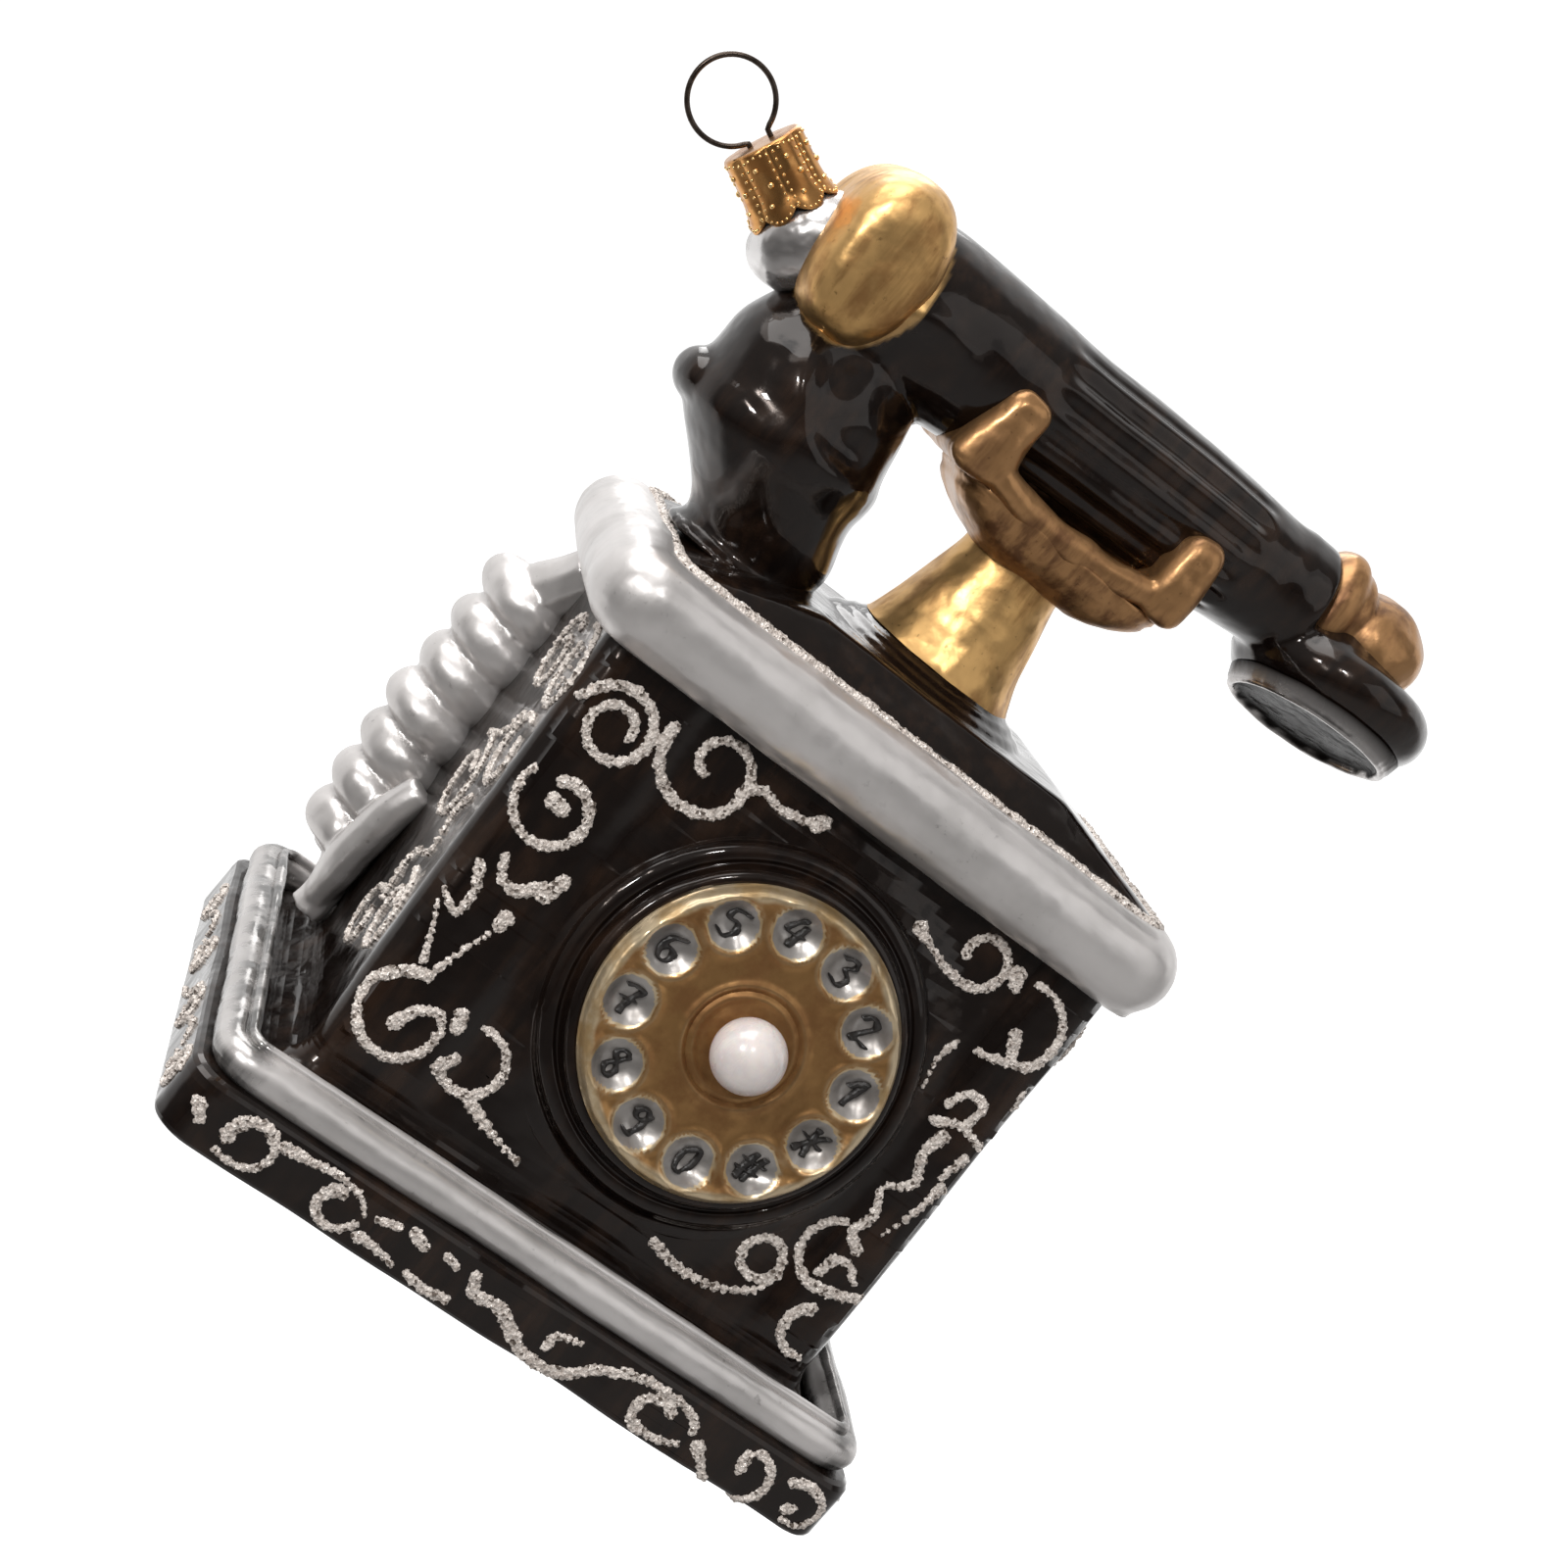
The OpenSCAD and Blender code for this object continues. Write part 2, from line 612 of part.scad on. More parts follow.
module mouth_cap() color(BRONZE) hang() difference() {
    mouth_cap_form();
    mouth_cap_form(glass_wall);
    grip_form();
}

module glass_neck() color(SILVER) hang() difference() {
    neck_form();
    on_neck() translate([0, 0, -2 * shoulder_l]) cylinder(r = neck_bore_r, h = 4 * shoulder_l);
    receiver_cap_form();
    horn_form();
}

module curly_cord() color(SILVER) hang() difference() {
    translate([coil_x, coil_y, coil_top_z]) {
        for (i = [0 : coil_turns - 1]) translate([0, 0, -i * coil_pitch]) bun(coil_r, coil_pitch - rib_gap);
        translate([0, 0, -(coil_turns - 1) * coil_pitch - coil_pitch / 2])
            cylinder(r = coil_core_r, h = coil_turns * coil_pitch + 1);
    }
    translate([coil_x, coil_y, coil_top_z - (coil_turns - 0.8) * coil_pitch])
        cylinder(r = coil_core_r - glass_wall, h = (coil_turns - 0.6) * coil_pitch);
    housing_form();
    top_bead_form();
}

module cord_tail() color(SILVER) hang() difference() {
    union() {
        strand(tail_top, tail_foot, tail_r);
        strand(lobe_top, lobe_foot, lobe_r);
    }
    translate([coil_x, coil_y, coil_top_z - (coil_turns - 0.5) * coil_pitch])
        cylinder(r = coil_r, h = coil_turns * coil_pitch);
    housing_form();
    cove_form();
    base_bead_form();
}

// Metal cap, crimped from sheet, with two holes for the wire
module metal_cap() color(CAP_GOLD) hang() on_neck() difference() {
    rotate_extrude() polygon([[0, cap_top], [cap_in_r, cap_top], [cap_in_r, cap_skirt_h],
                              [cap_mouth_r - cap_sheet, 0], [cap_mouth_r, 0], [cap_out_r, 1.1 * cap_skirt_h],
                              [cap_out_r, cap_top + cap_sheet],
                              [0, cap_top + cap_sheet]]);
    for (side = [-1, 1]) translate([side * hole_x, 0, cap_top - 1]) cylinder(r = hole_r, h = 3);
}

// Ring of spring wire, whose two ends pass the cap and spread inside the neck
module hanger_wire() color(WIRE) hang() on_neck() {
    plate_z = cap_top + cap_sheet / 2;
    // Where the ring's round ends, on each side of its gap
    left_a = -90 - asin((hole_x + ring_side) / ring_r);
    right_a = -90 + asin((hole_x - ring_side) / ring_r);
    translate([ring_side, 0, ring_up]) rotate([90, right_a, 0])
        rotate_extrude(angle = 360 - (right_a - left_a)) translate([ring_r, 0]) circle(wire_d / 2);
    for (side = [-1, 1]) {
        end_a = side < 0 ? left_a : right_a;
        end_z = ring_up + ring_r * sin(end_a);
        translate([side * hole_x, 0, plate_z]) cylinder(r = wire_d / 2, h = end_z - plate_z);
        for (z = [plate_z, end_z]) translate([side * hole_x, 0, z]) sphere(bend_r);
        translate([side * hole_x, 0, plate_z])
            rotate([0, side * (180 - atan((leg_spread - hole_x) / leg_l)), 0])
                cylinder(r = wire_d / 2, h = leg_l);
    }
}

plinth();
plinth_bead();
plinth_cove();
housing();
dial_mount();
dial_plate();
pearl();
top_bead();
lid();
lid_glitter();
cradle_stem();
cradle_saddle();
cradle_fork();
handset_grip();
receiver_cap();
receiver_horn();
receiver_foot();
mouth_neck();
mouth_cup();
mouth_lip();
mouth_cap();
glass_neck();
curly_cord();
cord_tail();
metal_cap();
hanger_wire();
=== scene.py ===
"""Looks of the cradle telephone ornament: blown glass, silvered inside and painted by hand.

Every piece is modelled with the telephone upright, in millimetres, and PLACE then takes it to
where it hangs, in metres. X is the telephone's right, Y its back and Z up.
"""
import json
import math

import bmesh
import bpy
from mathutils import Matrix, Vector, noise
from mathutils.bvhtree import BVHTree

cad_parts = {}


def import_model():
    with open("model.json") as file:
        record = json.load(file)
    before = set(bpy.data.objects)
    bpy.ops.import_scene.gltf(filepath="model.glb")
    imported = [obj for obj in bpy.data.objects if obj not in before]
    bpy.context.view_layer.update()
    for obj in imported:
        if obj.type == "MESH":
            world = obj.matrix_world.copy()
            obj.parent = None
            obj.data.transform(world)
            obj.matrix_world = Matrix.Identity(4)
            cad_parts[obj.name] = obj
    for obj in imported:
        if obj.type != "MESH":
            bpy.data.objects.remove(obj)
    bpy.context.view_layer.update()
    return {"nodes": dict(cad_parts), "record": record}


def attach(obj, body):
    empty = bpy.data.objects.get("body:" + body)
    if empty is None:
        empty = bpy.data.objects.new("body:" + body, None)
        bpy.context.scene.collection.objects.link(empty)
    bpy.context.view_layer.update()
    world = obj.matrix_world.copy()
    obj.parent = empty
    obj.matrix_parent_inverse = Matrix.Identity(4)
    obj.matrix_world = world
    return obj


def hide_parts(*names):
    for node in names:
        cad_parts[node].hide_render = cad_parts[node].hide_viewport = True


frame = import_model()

MM = 0.001
MERGE = 1e-4
SHARP_FROM = math.radians(50)
FRONT_START = 60.0
SIDE_START = 70.0


# ---------------------------------------------------------------- places from the frame

def upright_to_hanging():
    """The upright telephone's millimetres to the hanging one's metres, from the base's mount."""
    base = next(m for m in frame["record"]["mounts"] if m["name"] == "base_face")
    up = -Vector(base["axis"])
    lean = math.atan2(up.x, up.z)
    turned = Matrix.Rotation(lean, 4, "Y") @ Matrix.Scale(MM, 4)
    return Matrix.Translation(base["pos_m"]) @ turned


PLACE = upright_to_hanging()
UPRIGHT = PLACE.inverted()
LEAN = math.atan2(PLACE[0][2], PLACE[2][2])


def upright_box(node):
    """A CAD node's lowest and highest corners with the telephone upright, in millimetres."""
    corners = [UPRIGHT @ v.co for v in frame["nodes"][node].data.vertices]
    low = Vector([min(c[i] for c in corners) for i in range(3)])
    high = Vector([max(c[i] for c in corners) for i in range(3)])
    return low, high


PLINTH = upright_box("plinth")
HOUSING = upright_box("housing")
TOP_BEAD = upright_box("top_bead")
LID = upright_box("lid")
STEM = upright_box("cradle_stem")
FORK = upright_box("cradle_fork")

PLINTH_TOP = PLINTH[1].z
FOOT_Z = HOUSING[0].z
FOOT_W = 64.8
FOOT_D = 50.4
TOP_W = 67.4
TOP_D = 36.0
TOP_BEAD_R = 5.0
TOP_BEAD_Z = (TOP_BEAD[0].z + TOP_BEAD[1].z) / 2
FRONT_RISE = 49.4
FRONT_LEAN = math.atan((FOOT_D - TOP_D) / 2 / FRONT_RISE)

DIAL_X = 1.8
DIAL_Z = 38.2
DIAL_R = 16.8
DIAL_TOP = 6.4
DIMPLES = 12
DIMPLE_R = 2.75
DIMPLE_DEPTH = 0.95
DIMPLE_RING = 12.9
FIRST_DIMPLE = math.radians(12)
PEARL_R = 3.95

GRIP_Z = 107.64
GRIP_RISE = math.radians(2.1)
NECK_TIP = math.radians(65.8)
CAP_TOP = 6.95
MOUTH_ROLL = math.radians(1)
MOUTH_PITCH = math.radians(15)
STEM_FOOT_Z = STEM[0].z
STEM_TOP_Z = STEM[1].z
FORK_Z = FORK[0].z

# The gold egg at the receiver: a squarer outline and a fuller face than an ellipsoid's
EGG = Vector((-33.6, 0, 108.2))
EGG_SIZE = Vector((6.45, 11.4, 9.5))
EGG_FULLNESS = 2.35
EGG_FACE = 4.2

COIL = Vector((-35.3, 15.5, 54.7))
COIL_PITCH = 5.5
RIB_SIZES = (1.06, 1.02, 0.99, 1.01, 0.98, 1.0, 0.96)

# The dial's own frame: its back lies on the housing's leaning front
DIAL_Y = -FOOT_D / 2 + (DIAL_Z - FOOT_Z) * math.tan(FRONT_LEAN)
DIAL_PLACE = Matrix.Translation((DIAL_X, DIAL_Y, DIAL_Z)) @ Matrix.Rotation(math.pi / 2 - FRONT_LEAN, 4, "X")
GRIP_PLACE = Matrix.Translation((0, 0, GRIP_Z)) @ Matrix.Rotation(-GRIP_RISE, 4, "Y")
NECK_PLACE = Matrix.Translation((-43, 0, GRIP_Z - 0.7)) @ Matrix.Rotation(-NECK_TIP, 4, "Y")
MOUTH_PLACE = (Matrix.Translation((37.4, 0, GRIP_Z - 4.4)) @ Matrix.Rotation(-MOUTH_ROLL, 4, "Y")
               @ Matrix.Rotation(-MOUTH_PITCH, 4, "X"))
LIP_PLACE = MOUTH_PLACE @ Matrix.Translation((0, 0, -3.4))
ALONG_X = Matrix.Rotation(math.pi / 2, 4, "Y")


# ---------------------------------------------------------------- shapes

def smooth_step(low, high, x):
    t = min(1.0, max(0.0, (x - low) / (high - low)))
    return t * t * (3 - 2 * t)


def bell(x, width):
    return math.exp(-(x / width) ** 2)


def shift(x, y, z):
    return Matrix.Translation((x, y, z))


def through(points, per):
    """A smooth line through points, per steps to each span."""
    points = [Vector(p) for p in points]
    last = len(points) - 1
    line = []
    for i in range(last):
        a, b, c, d = points[max(i - 1, 0)], points[i], points[i + 1], points[min(i + 2, last)]
        for k in range(per):
            t = k / per
            line.append(0.5 * (2 * b + (c - a) * t + (2 * a - 5 * b + 4 * c - d) * t ** 2
                               + (3 * b - a - 3 * c + d) * t ** 3))
    return line + [points[-1]]


def smooth_profile(points, per):
    """A smooth line through (radius, height) points."""
    return [(p.x, p.y) for p in through([(r, z, 0) for r, z in points], per)]


def arc(x, z, radius, start, end, steps):
    """Points of a round stretch of a profile, with angles in degrees."""
    angles = [math.radians(start + (end - start) * i / steps) for i in range(steps + 1)]
    return [(x + radius * math.cos(a), z + radius * math.sin(a)) for a in angles]


def spun(profile, steps=96):
    """A body of revolution about Z from (radius, height) points."""
    bm = bmesh.new()
    verts = [bm.verts.new((max(r, 0.0), 0, z)) for r, z in profile]
    edges = [bm.edges.new(pair) for pair in zip(verts, verts[1:])]
    bmesh.ops.spin(bm, geom=verts + edges, cent=(0, 0, 0), axis=(0, 0, 1), angle=2 * math.pi,
                   steps=steps, use_merge=True)
    bmesh.ops.remove_doubles(bm, verts=bm.verts, dist=MERGE)
    bmesh.ops.recalc_face_normals(bm, faces=bm.faces)
    return bm


def ball(centre, size, detail):
    """A ball or egg of three half-lengths."""
    bm = bmesh.new()
    bmesh.ops.create_icosphere(bm, subdivisions=detail, radius=1.0)
    bmesh.ops.scale(bm, vec=size, verts=bm.verts)
    bmesh.ops.translate(bm, vec=centre, verts=bm.verts)
    return bm


def block(low, high, round_off, segments):
    """A box from corner to corner with its edges rounded."""
    bm = bmesh.new()
    bmesh.ops.create_cube(bm, size=1.0)
    low, high = Vector(low), Vector(high)
    bmesh.ops.scale(bm, vec=high - low, verts=bm.verts)
    bmesh.ops.translate(bm, vec=(low + high) / 2, verts=bm.verts)
    bmesh.ops.bevel(bm, geom=bm.edges[:], offset=round_off, segments=segments, profile=0.5,
                    affect="EDGES", material=-1)
    return bm


def rounded_outline(width, depth, corner, step=1.0, arc_steps=8):
    """Points round a rectangle with round corners, counter-clockwise from above."""
    hx, hy = width / 2 - corner, depth / 2 - corner
    points = []
    for k, (cx, cy) in enumerate(((hx, hy), (-hx, hy), (-hx, -hy), (hx, -hy))):
        for i in range(arc_steps + 1):
            a = math.pi / 2 * (k + i / arc_steps)
            points.append(Vector((cx + corner * math.cos(a), cy + corner * math.sin(a), 0)))
        straight = 2 * (hx if k % 2 == 0 else hy)
        pieces = max(1, round(straight / step))
        a = math.pi / 2 * (k + 1)
        along = Vector((-math.sin(a), math.cos(a), 0)) * straight / pieces
        start = points[-1].copy()
        points += [start + along * i for i in range(1, pieces)]
    return points


def tower(outline, levels):
    """An outline raised through levels of (height, width factor, depth factor), closed at both ends."""
    bm = bmesh.new()
    z, wide, deep = levels[0]
    ring = [bm.verts.new((p.x * wide, p.y * deep, z)) for p in outline]
    face = bm.faces.new(ring)
    for z, new_wide, new_deep in levels[1:]:
        grown = bmesh.ops.extrude_face_region(bm, geom=[face])
        face = next(g for g in grown["geom"] if isinstance(g, bmesh.types.BMFace))
        for v in face.verts:
            v.co = (v.co.x * new_wide / wide, v.co.y * new_deep / deep, z)
        wide, deep = new_wide, new_deep
    bmesh.ops.recalc_face_normals(bm, faces=bm.faces)
    return bm


def mesh_from(obj):
    """The finished mesh of a temporary object, which is then removed."""
    evaluated = obj.evaluated_get(bpy.context.evaluated_depsgraph_get())
    bm = bmesh.new()
    mesh = bpy.data.meshes.new_from_object(evaluated)
    bm.from_mesh(mesh)
    bpy.data.meshes.remove(mesh)
    bpy.data.objects.remove(obj)
    return bm


def tube(points, radius, closed=False, sides=12, radii=None):
    """A round rod along points; radii scales its radius at each point."""
    curve = bpy.data.curves.new("rod", "CURVE")
    curve.dimensions = "3D"
    curve.bevel_depth = radius
    curve.bevel_resolution = max(1, sides // 4)
    curve.use_fill_caps = not closed
    spline = curve.splines.new("POLY")
    spline.points.add(len(points) - 1)
    for i, p in enumerate(points):
        spline.points[i].co = (*p, 1.0)
        spline.points[i].radius = radii[i] if radii else 1.0
    spline.use_cyclic_u = closed
    obj = bpy.data.objects.new("rod", curve)
    bpy.context.collection.objects.link(obj)
    bm = mesh_from(obj)
    bmesh.ops.remove_doubles(bm, verts=bm.verts, dist=MERGE)
    bmesh.ops.recalc_face_normals(bm, faces=bm.faces)
    return bm


def joined(bodies):
    """Several meshes in one."""
    whole = bmesh.new()
    for bm in bodies:
        mesh = bpy.data.meshes.new("part")
        bm.to_mesh(mesh)
        bm.free()
        whole.from_mesh(mesh)
        bpy.data.meshes.remove(mesh)
    return whole


def melted(bodies, voxel, rounds):
    """One skin over overlapping bodies, its creases softened as in blown glass."""
    bm = joined(bodies)
    mesh = bpy.data.meshes.new("melt")
    bm.to_mesh(mesh)
    bm.free()
    obj = bpy.data.objects.new("melt", mesh)
    bpy.context.collection.objects.link(obj)
    remesh = obj.modifiers.new("skin", "REMESH")
    remesh.mode = "VOXEL"
    remesh.voxel_size = voxel
    soften = obj.modifiers.new("soften", "SMOOTH")
    soften.factor = 0.5
    soften.iterations = rounds
    return mesh_from(obj)


def placed(bm, matrix):
    bm.transform(matrix)
    return bm


def shaped(bm, push):
    """Moves every point along its normal by push(point, normal), in millimetres."""
    bm.normal_update()
    moves = [v.normal * push(v.co, v.normal) for v in bm.verts]
    for v, move in zip(bm.verts, moves):
        v.co += move
    return bm


def uneven(bm, amount, size, seed=0.0):
    """The soft unevenness of hand-blown glass."""
    away = Vector((seed, 2 * seed, -seed))
    return shaped(bm, lambda co, _: amount * noise.noise(co / size + away))


def finish_piece(name, bm, material, body="glass", replaces=(), paint=None):
    """Puts an upright mesh in its place on the hanging telephone. paint is (name, function of point)."""
    if paint:
        label, amount_at = paint
        layer = bm.verts.layers.float.new(label)
        for v in bm.verts:
            v[layer] = amount_at(v.co)
    bm.transform(PLACE)
    mesh = bpy.data.meshes.new(name)
    bm.to_mesh(mesh)
    bm.free()
    mesh.shade_smooth()
    mesh.set_sharp_from_angle(angle=SHARP_FROM)
    mesh.materials.append(material)
    obj = bpy.data.objects.new(name, mesh)
    bpy.context.collection.objects.link(obj)
    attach(obj, body)
    if replaces:
        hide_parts(*replaces)


# ---------------------------------------------------------------- finishes

def new_group(name, inputs, outputs):
    group = bpy.data.node_groups.new(name, "ShaderNodeTree")
    for label, kind, value in inputs:
        socket = group.interface.new_socket(name=label, in_out="INPUT", socket_type=kind)
        socket.default_value = value
    for label, kind in outputs:
        group.interface.new_socket(name=label, in_out="OUTPUT", socket_type=kind)
    return group, group.nodes.new("NodeGroupInput"), group.nodes.new("NodeGroupOutput")


def add(tree, kind, **settings):
    node = tree.nodes.new(kind)
    for key, value in settings.items():
        setattr(node, key, value)
    return node


def ramp_node(tree, value, low, high, out_low=0.0, out_high=1.0):
    node = add(tree, "ShaderNodeMapRange", interpolation_type="SMOOTHSTEP")
    for label, number in (("From Min", low), ("From Max", high), ("To Min", out_low), ("To Max", out_high)):
        node.inputs[label].default_value = number
    tree.links.new(value, node.inputs["Value"])
    return node.outputs["Result"]


def mix_node(tree, share, a, b):
    node = add(tree, "ShaderNodeMix", data_type="RGBA")
    tree.links.new(share, node.inputs["Factor"])
    for socket, value in ((node.inputs[6], a), (node.inputs[7], b)):
        if isinstance(value, tuple):
            socket.default_value = (*value, 1.0)
        else:
            tree.links.new(value, socket)
    return node.outputs[2]


def math_node(tree, operation, a, b=None):
    node = add(tree, "ShaderNodeMath", operation=operation)
    for socket, value in zip(node.inputs, (a, b)):
        if value is None:
            continue
        if isinstance(value, (int, float)):
            socket.default_value = value
        else:
            tree.links.new(value, socket)
    return node.outputs[0]


def blown_surface_group():
    """Slow waves and fine ripples of hand-blown glass, as a normal and a mask of its thick places."""
    group, inside, outside = new_group(
        "blown_surface",
        [("Vector", "NodeSocketVector", (0, 0, 0)), ("Wave Size", "NodeSocketFloat", 180.0),
         ("Wave Height", "NodeSocketFloat", 0.0004), ("Ripple Size", "NodeSocketFloat", 900.0),
         ("Ripple Height", "NodeSocketFloat", 0.00002)],
        [("Normal", "NodeSocketVector"), ("Mask", "NodeSocketFloat")])
    wave = add(group, "ShaderNodeTexNoise")
    ripple = add(group, "ShaderNodeTexNoise")
    for node, size in ((wave, "Wave Size"), (ripple, "Ripple Size")):
        node.inputs["Detail"].default_value = 2.0
        group.links.new(inside.outputs["Vector"], node.inputs["Vector"])
        group.links.new(inside.outputs[size], node.inputs["Scale"])
    first = add(group, "ShaderNodeBump")
    group.links.new(wave.outputs["Fac"], first.inputs["Height"])
    group.links.new(inside.outputs["Wave Height"], first.inputs["Distance"])
    second = add(group, "ShaderNodeBump")
    group.links.new(ripple.outputs["Fac"], second.inputs["Height"])
    group.links.new(inside.outputs["Ripple Height"], second.inputs["Distance"])
    group.links.new(first.outputs["Normal"], second.inputs["Normal"])
    group.links.new(second.outputs["Normal"], outside.inputs["Normal"])
    group.links.new(wave.outputs["Fac"], outside.inputs["Mask"])
    return group


def brushwork_group():
    """Uneven hand paint: soft patches, streaks along Z and small specks, each a mask from 0 to 1."""
    group, inside, outside = new_group(
        "brushwork",
        [("Vector", "NodeSocketVector", (0, 0, 0)), ("Patch Size", "NodeSocketFloat", 120.0),
         ("Streak Size", "NodeSocketFloat", 500.0), ("Speck Size", "NodeSocketFloat", 1500.0)],
        [("Patches", "NodeSocketFloat"), ("Streaks", "NodeSocketFloat"), ("Specks", "NodeSocketFloat")])
    squeeze = add(group, "ShaderNodeMapping")
    squeeze.inputs["Scale"].default_value = (1.0, 1.0, 0.12)
    group.links.new(inside.outputs["Vector"], squeeze.inputs["Vector"])
    for label, size, vector in (("Patches", "Patch Size", inside.outputs["Vector"]),
                                ("Streaks", "Streak Size", squeeze.outputs["Vector"]),
                                ("Specks", "Speck Size", inside.outputs["Vector"])):
        node = add(group, "ShaderNodeTexNoise")
        node.inputs["Detail"].default_value = 4.0
        node.inputs["Roughness"].default_value = 0.6
        group.links.new(vector, node.inputs["Vector"])
        group.links.new(inside.outputs[size], node.inputs["Scale"])
        low, high = (0.62, 0.74) if label == "Specks" else (0.38, 0.64)
        group.links.new(ramp_node(group, node.outputs["Fac"], low, high), outside.inputs[label])
    return group


def grit_group():
    """Crushed glass grains: a shade for each grain and the height of their faces."""
    group, inside, outside = new_group(
        "grit",
        [("Vector", "NodeSocketVector", (0, 0, 0)), ("Grain Size", "NodeSocketFloat", 2600.0)],
        [("Shade", "NodeSocketFloat"), ("Height", "NodeSocketFloat")])
    cells = add(group, "ShaderNodeTexVoronoi")
    group.links.new(inside.outputs["Vector"], cells.inputs["Vector"])
    group.links.new(inside.outputs["Grain Size"], cells.inputs["Scale"])
    split = add(group, "ShaderNodeSeparateColor")
    group.links.new(cells.outputs["Color"], split.inputs["Color"])
    group.links.new(split.outputs["Red"], outside.inputs["Shade"])
    group.links.new(cells.outputs["Distance"], outside.inputs["Height"])
    return group


BLOWN_SURFACE = blown_surface_group()
BRUSHWORK = brushwork_group()
GRIT = grit_group()


def place_group(tree, group, vector, **values):
    node = add(tree, "ShaderNodeGroup")
    node.node_tree = group
    tree.links.new(vector, node.inputs["Vector"])
    for label, value in values.items():
        node.inputs[label.replace("_", " ")].default_value = value
    return node


def new_finish(name, **settings):
    """A material, its tree, its Principled shader and the upright telephone's coordinates."""
    material = bpy.data.materials.new(name)
    material.use_nodes = True
    tree = material.node_tree
    shader = next(n for n in tree.nodes if n.type == "BSDF_PRINCIPLED")
    for label, value in settings.items():
        shader.inputs[label.replace("_", " ")].default_value = value
    coordinates = add(tree, "ShaderNodeTexCoord")
    upright = add(tree, "ShaderNodeMapping", vector_type="POINT")
    upright.inputs["Rotation"].default_value = (0, -LEAN, 0)
    tree.links.new(coordinates.outputs["Object"], upright.inputs["Vector"])
    return material, tree, shader, upright.outputs["Vector"]


def dress(tree, shader, **outputs):
    """Links what varies over the surface to the shader's own sockets."""
    for label, output in outputs.items():
        tree.links.new(output, shader.inputs[label.replace("_", " ")])


def attribute_node(tree, name):
    return add(tree, "ShaderNodeAttribute", attribute_name=name).outputs["Fac"]


def black_lacquer():
    """Black-brown lacquer over silvered glass: brown where it is thin, gold where the attribute gilt is 1."""
    material, tree, shader, at = new_finish("black_lacquer", IOR=1.45, Specular_IOR_Level=0.22,
                                            Specular_Tint=(1.0, 0.86, 0.78, 1.0), Coat_Weight=0.45,
                                            Coat_Roughness=0.04)
    brush = place_group(tree, BRUSHWORK, at, Patch_Size=95.0, Streak_Size=420.0, Speck_Size=1400.0)
    glass = place_group(tree, BLOWN_SURFACE, at, Wave_Size=150.0, Wave_Height=0.0007)
    thin = math_node(tree, "MULTIPLY", brush.outputs["Patches"], brush.outputs["Streaks"])
    colour = mix_node(tree, thin, (0.0060, 0.0037, 0.0030), (0.022, 0.0115, 0.0070))
    gilt_share = attribute_node(tree, "gilt")
    gilding = mix_node(tree, brush.outputs["Streaks"], GILDING, tuple(0.8 * c for c in GILDING))
    rough = ramp_node(tree, brush.outputs["Patches"], 0, 1, 0.13, 0.20)
    dress(tree, shader, Base_Color=mix_node(tree, gilt_share, colour, gilding),
          Metallic=math_node(tree, "MULTIPLY", gilt_share, 0.9),
          Roughness=math_node(tree, "ADD", rough, math_node(tree, "MULTIPLY", gilt_share, 0.18)),
          Normal=glass.outputs["Normal"])
    return material


def lip_finish():
    """Black lacquer inside, bare silvered glass on the rim, from the attribute rim."""
    material, tree, shader, at = new_finish("mouth_lip", IOR=1.15, Specular_IOR_Level=0.3)
    glass = place_group(tree, BLOWN_SURFACE, at, Wave_Size=260.0, Wave_Height=0.0006)
    rim = attribute_node(tree, "rim")
    dress(tree, shader, Base_Color=mix_node(tree, rim, (0.009, 0.007, 0.006), (0.40, 0.38, 0.37)),
          Metallic=rim, Roughness=ramp_node(tree, glass.outputs["Mask"], 0, 1, 0.20, 0.34),
          Normal=glass.outputs["Normal"])
    return material


def satin_silver():
    """Satin silver lacquer, greyer where the brush left it thin, dark where the attribute bare is 1."""
    material, tree, shader, at = new_finish("satin_silver", Metallic=0.62, IOR=1.5)
    brush = place_group(tree, BRUSHWORK, at, Patch_Size=70.0, Streak_Size=260.0, Speck_Size=900.0)
    glass = place_group(tree, BLOWN_SURFACE, at, Wave_Size=110.0, Wave_Height=0.0009)
    thin = math_node(tree, "MULTIPLY", brush.outputs["Patches"], brush.outputs["Specks"])
    colour = mix_node(tree, brush.outputs["Patches"], (0.67, 0.64, 0.625), (0.55, 0.525, 0.51))
    colour = mix_node(tree, thin, colour, (0.36, 0.34, 0.33))
    # Where bare is 1 the silver is dark bare glass; the strip of silver it leaves on the plinth moulding's
    # ends is a painted highlight
    bare = math_node(tree, "MULTIPLY", attribute_node(tree, "bare"),
                     ramp_node(tree, brush.outputs["Streaks"], 0, 1, 1.0, 0.55))
    colour = mix_node(tree, bare, colour, (0.13, 0.125, 0.12))
    rough = ramp_node(tree, brush.outputs["Streaks"], 0, 1, 0.30, 0.40)
    dress(tree, shader, Base_Color=colour, Normal=glass.outputs["Normal"],
          Roughness=math_node(tree, "SUBTRACT", rough, math_node(tree, "MULTIPLY", bare, 0.2)))
    return material


